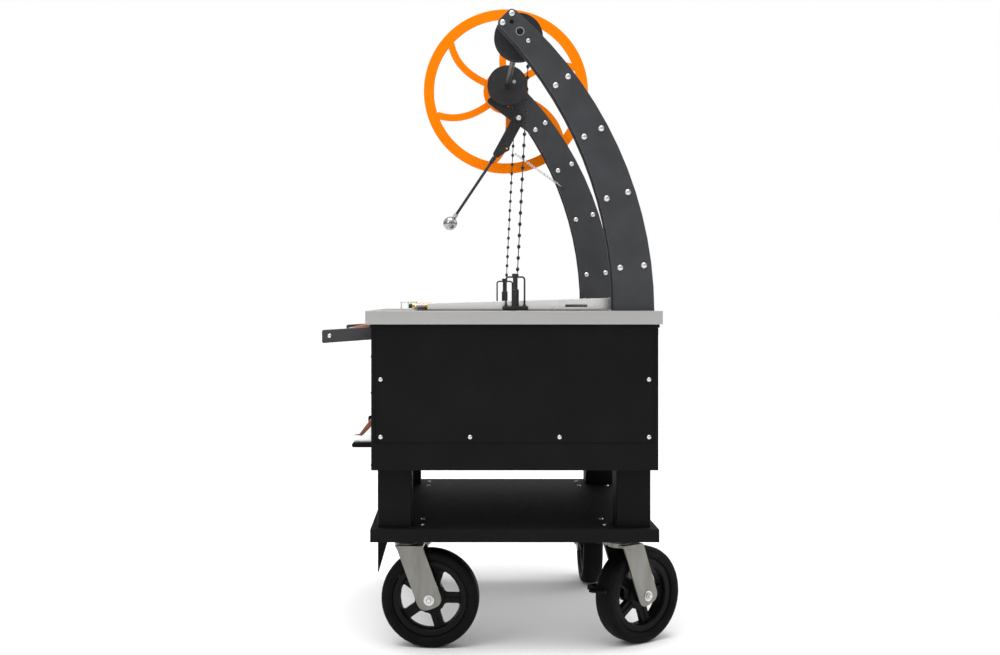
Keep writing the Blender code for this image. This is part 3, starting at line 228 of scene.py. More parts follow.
def spun(name, profile, centre=(0, 0, 0), axis=X, steps=48, ring=False):
    """A turned piece: (radius, place along the axis) points, spun once round the axis."""
    across = Z if abs(axis.z) < 0.5 else X
    centre = Vector(centre)
    points = [centre + axis * along + across * radius for radius, along in profile]
    piece = traced(name, points)
    if ring:
        bpy.ops.mesh.select_all(action="DESELECT")
        leave()
        for end in (0, len(points) - 1):
            piece.data.vertices[end].select = True
        bpy.ops.object.mode_set(mode="EDIT")
        bpy.ops.mesh.edge_face_add()
    bpy.ops.mesh.select_all(action="SELECT")
    bpy.ops.mesh.spin(steps=steps, angle=math.tau, center=centre, axis=axis)
    bpy.ops.mesh.select_all(action="SELECT")
    bpy.ops.mesh.remove_doubles(threshold=0.00001)
    bpy.ops.mesh.normals_make_consistent(inside=False)
    leave()
    return shaded(piece)


def mirrored(profile, middle=0.0):
    """A turned profile followed by its mirror image across a plane at middle."""
    return profile + [(radius, 2 * middle - along) for radius, along in reversed(profile)]


def wire(name, points, radius, sides=3):
    """A round wire along points."""
    deselect()
    bpy.ops.curve.primitive_bezier_curve_add()
    piece = bpy.context.object
    curve = piece.data
    curve.splines.clear()
    line = curve.splines.new("POLY")
    line.points.add(len(points) - 1)
    for knot, point in zip(line.points, points):
        knot.co = (*point, 1.0)
    line.use_smooth = True
    curve.bevel_depth = radius
    curve.bevel_resolution = sides
    curve.use_fill_caps = True
    piece.location = (0, 0, 0)
    bpy.ops.object.convert(target="MESH")
    return shaded(cleaned(settle(named(name))), 50)


def bar(name, start, end, radius, edge=0.0006, sides=32):
    """A round bar with softened ends."""
    start, end = Vector(start), Vector(end)
    along = end - start
    deselect()
    turn = along.to_track_quat("Z", "Y").to_euler()
    bpy.ops.mesh.primitive_cylinder_add(vertices=sides, radius=radius, depth=along.length,
                                        location=(start + end) / 2, rotation=turn)
    return softened(settle(named(name)), edge, 2, 60)


def stretched(piece, columns, middle):
    """Put a unit piece at middle, with its three sides along the columns."""
    piece.matrix_world = Matrix.Translation(middle) @ Matrix(columns).transposed().to_4x4()
    return settle(piece)


def copies(name, template, places):
    """The template, modelled at the origin along +X, copied to (point, direction) places and joined."""
    pieces = []
    for point, direction in places:
        pick(template)
        bpy.ops.object.duplicate(linked=False)
        piece = bpy.context.object
        turn = X.rotation_difference(Vector(direction)).to_matrix().to_4x4()
        piece.matrix_world = Matrix.Translation(point) @ turn
        settle(piece)
        pieces.append(piece)
    bpy.data.objects.remove(template, do_unlink=True)
    return shaded(joined(name, pieces), 40)


def refined(node, edge, segments):
    """A copy of a CAD node with its loose triangles merged and its sharp edges rounded."""
    pick(frame["nodes"][node])
    bpy.ops.object.duplicate(linked=False)
    bpy.ops.object.parent_clear(type="CLEAR_KEEP_TRANSFORM")
    piece = named(node + "_finished")
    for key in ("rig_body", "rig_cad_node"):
        if key in piece:
            del piece[key]
    edit(piece)
    bpy.ops.mesh.remove_doubles(threshold=0.00001)
    bpy.ops.mesh.dissolve_limited(angle_limit=math.radians(0.5))
    leave()
    return softened(piece, edge, segments, 28)


def dress(piece, finish, body, slot, *nodes):
    """Give a piece its finish, the body that it rides on and the CAD nodes that it stands for."""
    piece.data.materials.clear()
    piece.data.materials.append(find_finish(finish))
    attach(piece, body)
    if nodes:
        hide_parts(*nodes)
    return piece


def dress_refined(node, finish, slot, edge, segments=2):
    body = frame["nodes"][node]["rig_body"]
    return dress(refined(node, edge, segments), finish, body, slot, node)


def bolted(name, template, places, body="cart"):
    """Bright copies of a bolt at (point, direction) places."""
    return dress(copies(name, template, places), "bolt_steel", body, "zinc")


def blacked(piece, body, *nodes):
    return dress(piece, "black_steel", body, "black_steel", *nodes)


# --------------------------------------------------------------------- finishes
class Recipe:
    """A node material on Object coordinates."""

    def __init__(self, name, colour, metallic, roughness):
        self.material = bpy.data.materials.new(name)
        self.material.use_nodes = True
        tree = self.material.node_tree
        self.nodes = tree.nodes
        self.links = tree.links
        self.shader = self.nodes["Principled BSDF"]
        self.shader.inputs["Base Color"].default_value = (*colour, 1.0)
        self.shader.inputs["Metallic"].default_value = metallic
        self.shader.inputs["Roughness"].default_value = roughness
        self.coordinates = self.nodes.new("ShaderNodeTexCoord")
        self.last_normal = None

    def noise(self, scale, detail=3.0, stretch=(1, 1, 1), roughness=0.55):
        mapping = self.nodes.new("ShaderNodeMapping")
        mapping.inputs["Scale"].default_value = stretch
        noise = self.nodes.new("ShaderNodeTexNoise")
        noise.inputs["Scale"].default_value = scale
        noise.inputs["Detail"].default_value = detail
        noise.inputs["Roughness"].default_value = roughness
        self.links.new(self.coordinates.outputs["Object"], mapping.inputs["Vector"])
        self.links.new(mapping.outputs["Vector"], noise.inputs["Vector"])
        return noise.outputs["Fac"]

    def colour(self, source, *stops):
        ramp = self.nodes.new("ShaderNodeValToRGB")
        ramp.color_ramp.elements[0].position, first = stops[0]
        ramp.color_ramp.elements[0].color = (*first, 1.0)
        ramp.color_ramp.elements[1].position, last = stops[-1]
        ramp.color_ramp.elements[1].color = (*last, 1.0)
        for place, shade in stops[1:-1]:
            stop = ramp.color_ramp.elements.new(place)
            stop.color = (*shade, 1.0)
        self.links.new(source, ramp.inputs["Fac"])
        self.links.new(ramp.outputs["Color"], self.shader.inputs["Base Color"])

    def gloss(self, source, low, high):
        spread = self.nodes.new("ShaderNodeMapRange")
        spread.inputs["To Min"].default_value = low
        spread.inputs["To Max"].default_value = high
        spread.inputs["From Min"].default_value = 0.3
        spread.inputs["From Max"].default_value = 0.7
        self.links.new(source, spread.inputs["Value"])
        self.links.new(spread.outputs["Result"], self.shader.inputs["Roughness"])

    def relief(self, source, strength, height):
        bump = self.nodes.new("ShaderNodeBump")
        bump.inputs["Strength"].default_value = strength
        bump.inputs["Distance"].default_value = height
        self.links.new(source, bump.inputs["Height"])
        if self.last_normal:
            self.links.new(self.last_normal, bump.inputs["Normal"])
        self.last_normal = bump.outputs["Normal"]
        self.links.new(self.last_normal, self.shader.inputs["Normal"])


FINISHES = {}


def shade(colour, share):
    return tuple(channel * share for channel in colour)


def finish(name, base, metallic, roughness, gloss, tones=None, relief=None, specular=None):
    """Make a material; gloss, tones and relief each give their noise first, then what it drives."""
    recipe = Recipe(name, base, metallic, roughness)
    if specular is not None:
        recipe.shader.inputs["Specular IOR Level"].default_value = specular
    if tones:
        recipe.colour(recipe.noise(*tones[0]), *tones[1:])
    recipe.gloss(recipe.noise(*gloss[0]), *gloss[1:])
    if relief:
        recipe.relief(recipe.noise(*relief[0]), *relief[1:])
    FINISHES[name] = recipe.material


def shades(base, *stops):
    """Colour stops from (place, share of the base colour) pairs."""
    return [(place, base if share == 1 else shade(base, share)) for place, share in stops]


def brushed(name, base, low, high):
    """Steel with a grain that runs level; the grain drives both its tone and its relief."""
    grain = (70.0, 5.0, (0.25, 0.25, 14.0), 0.7)
    tones = shades(base, (0.25, 0.93), (0.5, 1), (0.75, 1.04))
    finish(name, base, 1.0, (low + high) / 2, ((5.0, 3.0), low, high), (grain, *tones),
           (grain, 0.04, 0.0001))


def coloured_finishes(colours):
    """The finishes whose colours are set in the panel."""
    body, arms, steel = tuple(colours.body), tuple(colours.arms), tuple(colours.steel)
    orange, wood = tuple(colours.flywheel), tuple(colours.wood)
    wood_grain = (60.0, 6.0, (0.06, 1.4, 1.4), 0.65)
    finish("powder_black", body, 0.0, 0.5, ((60.0, 3.0), 0.56, 0.62),
           ((9.0, 4.0), *shades(body, (0.30, 0.82), (0.52, 1), (0.75, 1.25))),
           ((1500.0, 2.0), 0.04, 0.0001), 0.09)
    finish("arm_grey", arms, 0.0, 0.5, ((45.0, 3.0), 0.38, 0.58),
           ((14.0, 4.0), *shades(arms, (0.30, 0.85), (0.52, 1), (0.75, 1.2))),
           ((1300.0, 2.0), 0.1, 0.0002), 0.3)
    brushed("deck_steel", steel, 0.28, 0.34)
    # The grate's steel is the deck steel made 1.85 times brighter, a lit copy of the same stainless: the
    # extra brightness is painted highlight, on the grate and on the drawer cheeks.
    brushed("grate_steel_painted_lit", shade(steel, 1.85), 0.26, 0.34)
    finish("flywheel_orange", orange, 0.0, 0.38, ((30.0, 3.0), 0.30, 0.44),
           ((8.0, 3.0), *shades(orange, (0.3, 0.93), (0.7, 1.03))), ((260.0, 2.0), 0.10, 0.0003), 0.04)
    finish("hardwood", wood, 0.0, 0.45, ((40.0, 3.0, (0.2, 1, 1)), 0.36, 0.56),
           (wood_grain, *shades(wood, (0.30, 0.40), (0.48, 0.85), (0.62, 1), (0.8, 1.45))),
           (wood_grain, 0.3, 0.0004))


def plain_finishes():
    """The finishes with fixed colours."""
    finish("zinc_plate", (0.27, 0.263, 0.245), 1.0, 0.4, ((30.0, 3.0), 0.30, 0.42),
           ((34.0, 3.0, (1, 1, 0.25)), (0.3, (0.165, 0.160, 0.143)), (0.5, (0.20, 0.194, 0.175)),
            (0.7, (0.235, 0.228, 0.208))), ((400.0, 3.0, (1, 1, 6)), 0.15, 0.0001))
    finish("bolt_steel", (0.60, 0.60, 0.60), 1.0, 0.3, ((220.0, 3.0), 0.22, 0.42),
           relief=((900.0, 2.0), 0.1, 0.0001))
    finish("black_steel", (0.012, 0.012, 0.013), 0.0, 0.42, ((80.0, 3.0), 0.34, 0.52),
           ((35.0, 4.0), (0.3, (0.008, 0.008, 0.009)), (0.7, (0.018, 0.018, 0.020))),
           ((700.0, 3.0), 0.2, 0.0002), 0.4)
    finish("scale_steel", (0.05, 0.045, 0.04), 0.6, 0.7, ((60.0, 3.0), 0.55, 0.8),
           ((25.0, 5.0), (0.3, (0.025, 0.022, 0.02)), (0.6, (0.06, 0.052, 0.046)),
            (0.8, (0.11, 0.07, 0.045))), ((180.0, 5.0), 0.5, 0.0005))
    finish("tyre_rubber", (0.005, 0.005, 0.005), 0.0, 0.6, ((50.0, 3.0), 0.50, 0.68),
           ((30.0, 4.0), (0.3, (0.0022, 0.0022, 0.0022)), (0.7, (0.0042, 0.0042, 0.0042))),
           ((900.0, 3.0), 0.15, 0.0002), 0.08)
    finish("moulded_nylon", (0.008, 0.008, 0.0085), 0.0, 0.5, ((70.0, 3.0), 0.40, 0.56),
           ((22.0, 3.0), (0.3, (0.0022, 0.0022, 0.0024)), (0.7, (0.0042, 0.0042, 0.0045))),
           ((1200.0, 2.0), 0.2, 0.0002), 0.12)
    finish("polished_chrome", (0.36, 0.355, 0.345), 1.0, 0.18, ((40.0, 3.0), 0.15, 0.21))
    finish("brass", (0.78, 0.50, 0.16), 1.0, 0.25, ((120.0, 3.0), 0.18, 0.36),
           ((90.0, 3.0), (0.3, (0.66, 0.40, 0.12)), (0.7, (0.82, 0.54, 0.19))))
    finish("firebrick", (0.52, 0.37, 0.24), 0.0, 0.9, ((50.0, 3.0), 0.85, 0.96),
           ((26.0, 6.0), (0.28, (0.34, 0.23, 0.14)), (0.5, (0.52, 0.37, 0.24)),
            (0.72, (0.66, 0.50, 0.35))), ((240.0, 6.0), 0.6, 0.0008))
    finish("spring_wire", (0.62, 0.61, 0.60), 1.0, 0.28, ((300.0, 3.0), 0.2, 0.4))


def pale_floor():
    recipe = Recipe("pale_floor", (0.90, 0.90, 0.90), 0.0, 0.9)
    recipe.colour(recipe.noise(1.5, 3.0), (0.3, (0.895, 0.895, 0.895)), (0.7, (0.905, 0.905, 0.905)))
    return recipe.material


def find_finish(name):
    """A finish by name; all of them are made the first time that one is asked for."""
    if not FINISHES:
        coloured_finishes(bpy.context.scene.grill_colours)
        plain_finishes()
    return FINISHES[name]


# -------------------------------------------------------------------- properties
def colour_field(name, description, default):
    return FloatVectorProperty(name=name, description=description, subtype="COLOR", size=3, min=0, max=1,
                               default=default)


def length_field(name, description, default, low, high):
    return FloatProperty(name=name, description=description, default=default, min=low, max=high,
                         unit="LENGTH")


def count_field(name, description, default, low, high):
    return IntProperty(name=name, description=description, default=default, min=low, max=high)


class GrillColours(PropertyGroup):
    body: colour_field("Body", "Powder coat of the firebox, legs and tray", (0.0048, 0.0048, 0.0053))
    arms: colour_field("Arms", "Powder coat of the arms and the front brackets", (0.036, 0.037, 0.041))
    steel: colour_field("Steel", "Brushed stainless steel of the deck and the grate", (0.53, 0.526, 0.518))
    flywheel: colour_field("Flywheel", "Coating of the flywheel", (0.95, 0.205, 0.0010))
    wood: colour_field("Wood", "Oiled hardwood of the push bar and the drawer pull", (0.30, 0.085, 0.035))


class GrillSizes(PropertyGroup):
    dome_radius: length_field("Dome bolt radius", "Head radius of the bolts through the arms",
                              0.0082, 0.004, 0.01)
    cover_bolt_radius: length_field("Cover bolt radius", "Head radius of the side cover's bolts",
                                    0.0058, 0.003, 0.009)
    chain_pitch: length_field("Chain pitch", "Distance between two knots of a lift chain",
                              0.0292, 0.015, 0.05)
    chain_wire: length_field("Chain wire radius", "Radius of the lift chains' wire", 0.0013, 0.0006, 0.002)
    brick_courses: count_field("Brick courses", "Rows of firebrick round the fire", 2, 1, 3)
    spring_turns: count_field("Spring turns", "Turns of the brake's return spring", 34, 12, 60)
    wheel_spokes: count_field("Wheel spokes", "Spokes in each caster wheel", 5, 3, 8)


# ------------------------------------------------------------------ shared fittings
def dome_bolt(radius, height):
    """A low domed head with a shallow flat ring under it, along +X."""
    profile = [(0.0, height), (radius * 0.42, height * 0.94), (radius * 0.74, height * 0.72),
               (radius * 0.93, height * 0.38), (radius, height * 0.10), (radius, -0.0002), (0.0, -0.0002)]
    return spun("dome_bolt", profile, steps=28)


def hex_bolt(radius, height, washer=1.35):
    """A hexagon head on a washer, along +X."""
    deselect()
    bpy.ops.mesh.primitive_cylinder_add(vertices=6, radius=radius, depth=height,
                                        location=(height / 2 + 0.0012, 0, 0), rotation=(0, math.pi / 2, 0))
    head = softened(settle(named("hex_head")), radius * 0.09, 2)
    ring = spun("hex_washer", [(0.0, 0.0014), (radius * washer - 0.0003, 0.0014), (radius * washer, 0.0010),
                               (radius * washer, -0.0002), (0.0, -0.0002)], steps=32)
    stub = spun("hex_stub", [(0.0, height + 0.0034), (radius * 0.42, height + 0.0034),
                             (radius * 0.5, height + 0.0028), (radius * 0.5, 0.001), (0.0, 0.001)], steps=20)
    return joined("hex_bolt", [head, ring, stub])


def cart(x, y, z):
    """A point given from the middle of the cart's floor."""
    return CART + Vector((x, y, z))


# ----------------------------------------------------------------------- operators
class GRILL_OT_cart_body(Operator):
    """Firebox, side covers, legs and tray, with their bolts"""
    bl_idname = "grill.cart_body"
    bl_label = "Cart body"

    def execute(self, context):
        sizes = context.scene.grill_sizes
        dress_refined("firebox", "powder_black", "body_black", 0.0012)
        for word, _side in SIDES:
            dress_refined("side_cover_" + word, "powder_black", "body_black", 0.0006)
        for spot in SPOTS:
            dress_refined("leg_" + spot, "powder_black", "body_black", 0.0010)
        dress_refined("lower_tray", "powder_black", "body_black", 0.0010)
        self.gaskets()
        self.cover_bolts(sizes)
        self.front_bolts()
        self.tray_bolts()
        return {"FINISHED"}

    def gaskets(self):
        """A dark strip that shows all round the edge of each side cover."""
        for word, side in SIDES:
            low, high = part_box("side_cover_" + word)
            back = low.x if side > 0 else high.x
            near, far = sorted((back - side * 0.0006, back + side * 0.0010))
            lap = 0.0018
            strip = block("gasket", (near, low.y - lap, low.z - lap),
                          (far, high.y + lap, high.z + lap), 0.0004)
            dress(strip, "tyre_rubber", "cart", "rubber")

    def cover_bolts(self, sizes):
        upper, lower = 0.145, 0.0133
        for word, side in SIDES:
            low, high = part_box("side_cover_" + word)
            reach = (high.y - low.y) / 2 - 0.012
            spots = [(reach * share, low.z + lower) for share in (-1, -1 / 3, 1 / 3, 1)]
            spots += [(reach * share, low.z + lower + upper) for share in (-1, 1)]
            face = outer_face("side_cover_" + word, side)
            places = [(Vector((face, CART.y + y, z)), (side, 0, 0)) for y, z in spots]
            bolted("cover_bolts_" + word, dome_bolt(sizes.cover_bolt_radius, 0.0030), places)

    def front_bolts(self):
        low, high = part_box("firebox")
        rows = [low.z + 0.011, low.z + 0.194, low.z + 0.286]
        reach = (high.x - low.x) / 2 - 0.020
        flange = 0.003
        places = [(Vector((CART.x + x, face, z)), (0, turn, 0))
                  for face, turn in ((low.y + flange, -1), (high.y - flange, 1))
                  for z in rows for x in (-reach, reach)]
        blacked(copies("end_bolts", dome_bolt(0.0042, 0.0024), places), "cart")

    def tray_bolts(self):
        inset = 0.014
        places = []
        for spot in SPOTS:
            low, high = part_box("caster_plate_" + spot)
            for x in (low.x + inset, high.x - inset):
                for y in (low.y + inset, high.y - inset):
                    places.append((Vector((x, y, TRAY_HIGH.z - 0.0004)), (0, 0, 1)))
        bolted("tray_bolts", dome_bolt(0.0066, 0.0038), places)


class GRILL_OT_deck(Operator):
    """The folded stainless deck round the fire"""
    bl_idname = "grill.deck"
    bl_label = "Deck"

    def execute(self, context):
        dress_refined("top_rim", "deck_steel", "stainless", 0.0014, 3)
        return {"FINISHED"}


BRICK_JOINT = 0.0014


class GRILL_OT_fire_bed(Operator):
    """Firebricks laid round the coals, on the charcoal grate"""
    bl_idname = "grill.fire_bed"
    bl_label = "Fire bed"

    def execute(self, context):
        self.bricks(context.scene.grill_sizes.brick_courses)
        dress_refined("charcoal_grate", "scale_steel", "black_steel", 0.0012)
        return {"FINISHED"}

    def bricks(self, courses):
        low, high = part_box("firebrick_lining")
        thick = 0.025
        height = (high.z - low.z) / courses
        pieces = []
        for course in range(courses):
            bottom = low.z + course * height + BRICK_JOINT / 2
            top = low.z + (course + 1) * height - BRICK_JOINT / 2
            for wall in (low.y, high.y - thick):
                pieces += self.row(course, low.x, high.x, lambda a, b, wall=wall: (
                    (a, wall, bottom), (b, wall + thick, top)))
            for wall in (low.x, high.x - thick):
                pieces += self.row(course + 1, low.y + thick, high.y - thick, lambda a, b, wall=wall: (
                    (wall, a, bottom), (wall + thick, b, top)))
        dress(joined("firebricks", pieces), "firebrick", "cart", "firebrick", "firebrick_lining")

    def row(self, course, start, end, corners):
        """Bricks in running bond from start to end."""
        bricks = 4
        pitch = (end - start) / bricks
        cuts = [start] + [start + pitch * (i + (0.5 if course % 2 else 1.0)) for i in range(bricks)]
        cuts = [cut for cut in cuts if cut < end - pitch * 0.2] + [end]
        pieces = []
        for i, (a, b) in enumerate(zip(cuts, cuts[1:])):
            lift = 0.0006 * math.sin(7.0 * i + 3.0 * course)
            near, far = corners(a + BRICK_JOINT / 2, b - BRICK_JOINT / 2 - abs(lift))
            pieces.append(block("brick", near, far, 0.0022))
        return pieces


class GRILL_OT_front_rail(Operator):
    """Brackets, hardwood push bar and tool rail on the front"""
    bl_idname = "grill.front_rail"
    bl_label = "Front rail"

    def execute(self, context):
        for word, side in SIDES:
            node = "front_bracket_" + word
            dress_refined(node, "arm_grey", "arm_grey", 0.0012)
            rail = mid("tool_rail")
            places = [(Vector((outer_face(node, side), rail.y, rail.z)), (side, 0, 0))]
            bolted("bracket_bolts_" + word, dome_bolt(0.0058, 0.003), places)
        self.push_bar()
        self.tool_rail()
        return {"FINISHED"}

    def push_bar(self):
        low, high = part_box("push_bar")
        radius = (high.z - low.z) / 2
        centre = (low + high) / 2
        half = (high.x - low.x) / 2
        ferrule = 0.022
        taper = [(0.0, -half + ferrule), (radius * 0.97, -half + ferrule), (radius, -half + 0.10)]
        profile = taper + [(radius, 0.0)] + [(r, -along) for r, along in taper[::-1]]
        handle = softened(spun("push_bar_wood", profile, centre, X, 40), 0.0008)
        dress(handle, "hardwood", "cart", "hardwood", "push_bar")
        caps = []
        for side in (-1, 1):
            cap = [(0.0, side * half), (radius * 0.96, side * half), (radius, side * (half - 0.001)),
                   (radius, side * (half - ferrule + 0.002)), (radius * 0.94, side * (half - ferrule)),
                   (0.0, side * (half - ferrule))]
            caps.append(spun("push_bar_cap", cap, centre, X, 40))
        dress(joined("push_bar_caps", caps), "bolt_steel", "cart", "zinc")

    def tool_rail(self):
        low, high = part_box("tool_rail")
        y, z = mid("tool_rail").yz
        rail = bar("tool_rail_rod", (low.x, y, z), (high.x, y, z), (high.z - low.z) / 2, 0.0004, 28)
        dress(rail, "deck_steel", "cart", "stainless", "tool_rail")


# (y from the cart's middle, z) of the bolts down the arms, and (y, z) from the shaft of the ones at the head
ARM_BOLTS = ((0.135, 1.464), (0.104, 1.442), (0.219, 1.333), (0.176, 1.312),
             (0.2865, 1.172), (0.233, 1.156), (0.327, 0.987), (0.267, 0.981))
HEAD_BOLTS = ((-0.0207, 0.045), (-0.0437, 0.022))
BEARING_BOLTS = ((0.021, -0.024, "bolt_steel", "zinc"), (-0.021, 0.024, "tyre_rubber", "rubber"))


class GRILL_OT_arms(Operator):
    """The curved two-plate arms, with domed bolts and bearings"""
    bl_idname = "grill.arms"
    bl_label = "Arms"

    def execute(self, context):
        sizes = context.scene.grill_sizes
        for word, side in SIDES:
            outer, inner = "arm_outer_plate_" + word, "arm_inner_plate_" + word
            dress_refined(outer, "arm_grey", "arm_grey", 0.0009)
            dress_refined(inner, "arm_grey", "arm_grey", 0.0007)
            dress_refined("bearing_" + word, "zinc_plate", "zinc", 0.0009)
            spots = [(CART.y + y, z) for y, z in ARM_BOLTS]
            spots += [(SHAFT.y + y, SHAFT.z + z) for y, z in HEAD_BOLTS]
            face = outer_face(outer, side)
            places = [(Vector((face, y, z)), (side, 0, 0)) for y, z in spots]
            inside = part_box("arm_inner_plate_right")[0].x
            back = CART.x + side * (inside - CART.x)
            places += [(Vector((back, y, z)), (-side, 0, 0)) for y, z in spots]
            bolted("arm_bolts_" + word, dome_bolt(sizes.dome_radius, 0.0054), places)
            dress(self.collar(face, side), "bolt_steel", "cart", "zinc")
            for y, z, finish_name, slot in BEARING_BOLTS:
                head = copies("bearing_bolt_" + word, dome_bolt(0.0052, 0.0016),
                              [(Vector((face, SHAFT.y + y, SHAFT.z + z)), (side, 0, 0))])
                dress(head, finish_name, "cart", slot)
        return {"FINISHED"}

    def collar(self, face, side):
        """A bright bush that lines the shaft hole."""
        hole, wall = 0.0110, 0.0016
        near, far = face + side * 0.0004 - SHAFT.x, face - side * 0.0055 - SHAFT.x
        profile = [(hole, near), (hole - wall, near), (hole - wall, far), (hole, far)]
        return spun("shaft_bush", profile, SHAFT, X, 40, ring=True)


SPOKE_ROOT = 217.3                   # degrees, at the hub
SPOKE_SWEEP = (-7.0, -17.5)          # how the spoke turns with its share of the reach
SPOKE_REACH = 0.267                  # radius where that share is one
WINCH_BORE = 0.0083


class GRILL_OT_winch(Operator):
    """The orange flywheel, its shaft and nut, and the chain spools"""
    bl_idname = "grill.winch"
    bl_label = "Winch"

    def execute(self, context):
        self.flywheel()
        self.shaft()
        for word, side in SIDES:
            self.spool(word, side)
        return {"FINISHED"}

    def flywheel(self):
        low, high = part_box("flywheel")
        middle = (low.x + high.x) / 2 - SHAFT.x
        radius, rim, hub, half, edge = (high.z - low.z) / 2, 0.033, 0.073, 0.006, 0.0012
        inner = radius - rim
        face = middle - half
        profile = mirrored([(inner, face + edge), (inner + edge, face), (radius - edge, face),
                            (radius, face + edge)], middle)
        pieces = [spun("flywheel_rim", profile, SHAFT, X, 160, ring=True)]
        boss = mirrored([(WINCH_BORE, middle - 0.014), (0.025, middle - 0.014), (0.026, middle - 0.013),
                         (0.026, face), (hub - edge, face), (hub, face + edge)], middle)
        pieces.append(spun("flywheel_hub", boss, SHAFT, X, 96, ring=True))
        for k in range(6):
            pieces.append(self.spoke(60.0 * k, hub, inner, SHAFT.x + middle, half))
        wheel = joined("flywheel_finished", pieces)
        dress(shaded(wheel, 40), "flywheel_orange", "winch", "orange", "flywheel")

    def spoke(self, turn, hub, inner, middle, half):
        """A flat bar extruded along the spoke's swept line, from inside the hub to inside the rim."""
        steps, start, end, width = 16, hub - 0.003, inner + 0.003, 0.022
        points = []
        for i in range(steps + 1):
            radius = start + (end - start) * i / steps
            share = (radius - hub) / (SPOKE_REACH - hub)
            angle = math.radians(SPOKE_ROOT + turn + SPOKE_SWEEP[0] * share + SPOKE_SWEEP[1] * share * share)
            points.append(Vector((middle, SHAFT.y + radius * math.cos(angle),
                                  SHAFT.z + radius * math.sin(angle))))
        first = (points[1] - points[0]).normalized()
        deselect()
        bpy.ops.mesh.primitive_plane_add(size=1.0)
        columns = (X * (half * 2 - 0.0002), first.cross(X) * width, first)
        piece = stretched(named("spoke"), columns, points[0])
        edit(piece)
        heading = first
        for i in range(1, steps + 1):
            bpy.ops.mesh.extrude_region_move(TRANSFORM_OT_translate={"value": points[i] - points[i - 1]})
            after = points[min(i + 1, steps)] - points[i - 1] if i < steps else points[i] - points[i - 1]
            after.normalize()
            turn_by = math.asin(max(-1.0, min(1.0, heading.cross(after).x)))
            bpy.ops.transform.rotate(value=-turn_by, orient_axis="X", center_override=points[i])
            heading = after
        leave()
        cleaned(piece)
        return softened(piece, 0.0011, 2, 50)

    def shaft(self):
        low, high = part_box("winch_shaft")
        rod = bar("winch_shaft_finished", (low.x, SHAFT.y, SHAFT.z), (high.x, SHAFT.y, SHAFT.z),
                  0.008, 0.0008, 40)
        blacked(rod, "winch", "winch_shaft")
        low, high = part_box("flywheel_nut")
        deselect()
        bpy.ops.mesh.primitive_cylinder_add(vertices=6, radius=0.0128, depth=high.x - low.x,
                                            location=((low.x + high.x) / 2, SHAFT.y, SHAFT.z),
                                            rotation=(0, math.pi / 2, 0))
        nut = softened(settle(named("flywheel_nut_finished")), 0.0012, 2)
        dress(nut, "bolt_steel", "winch", "zinc", "flywheel_nut")

    def spool(self, word, side):
        """Two flanges on a core, with the chain wound between them."""
        node = "chain_spool_" + word
        low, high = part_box(node)
        radius, core, metal, edge, width = 0.063, 0.024, 0.003, 0.0007, 0.022
        near = high.x if side > 0 else low.x
        start = (low.x if side > 0 else high.x) - SHAFT.x
        profile = mirrored([(WINCH_BORE, 0), (radius - edge, 0), (radius, edge), (radius, metal - edge),
                            (radius - edge, metal), (core, metal)], width / 2)
        pieces = [self.on_spool("spool_reel", profile, start, side, 96, True)]
        if side < 0:
            end = abs(near - SHAFT.x - start)
            drum = [(WINCH_BORE, 0.0218), (0.013, 0.0218), (0.013, end - 0.004), (0.0355, end - 0.004),
                    (0.036, end - 0.0035), (0.036, end - 0.0005), (0.0355, end), (WINCH_BORE, end)]
            pieces.append(self.on_spool("brake_drum", drum, start, side, 80, True))
        hub = [(0.0, -0.0030), (0.0095, -0.0030), (0.0105, -0.0022), (0.0105, 0.0), (0.0, 0.0)]
        pieces.append(self.on_spool("spool_hub", hub, start, side, 36, False))
        reel = joined(node + "_finished", pieces)
        blacked(shaded(reel, 40), "winch", node)
        self.winding(node, SHAFT.x + start + side * width / 2, core)
        place = Vector((SHAFT.x + start, SHAFT.y + 0.0215, SHAFT.z + 0.0105))
        bolted(node + "_bolt", hex_bolt(0.0048, 0.0035, 1.2), [(place, (-side, 0, 0))], "winch")

    def on_spool(self, name, profile, start, side, steps, ring):
        """A turned piece whose profile is measured from the spool's outer flange."""
        placed = [(radius, start + side * along) for radius, along in profile]
        return spun(name, placed, SHAFT, X, steps, ring)

    def winding(self, node, middle, core):
        """A few turns of chain that wander between the flanges."""
        turns, steps, wound = 5, 40, []
        for i in range(turns * steps + 1):
            angle = math.tau * i / steps
            grow = core + 0.0022 + 0.0024 * (i / steps)
            wander = 0.0058 * math.sin(angle * 0.37 + 0.6)
            wound.append(Vector((middle + wander, SHAFT.y + grow * math.cos(angle),
                                 SHAFT.z + grow * math.sin(angle))))
        blacked(wire(node + "_wound_chain", wound, 0.0017, 2), "winch")


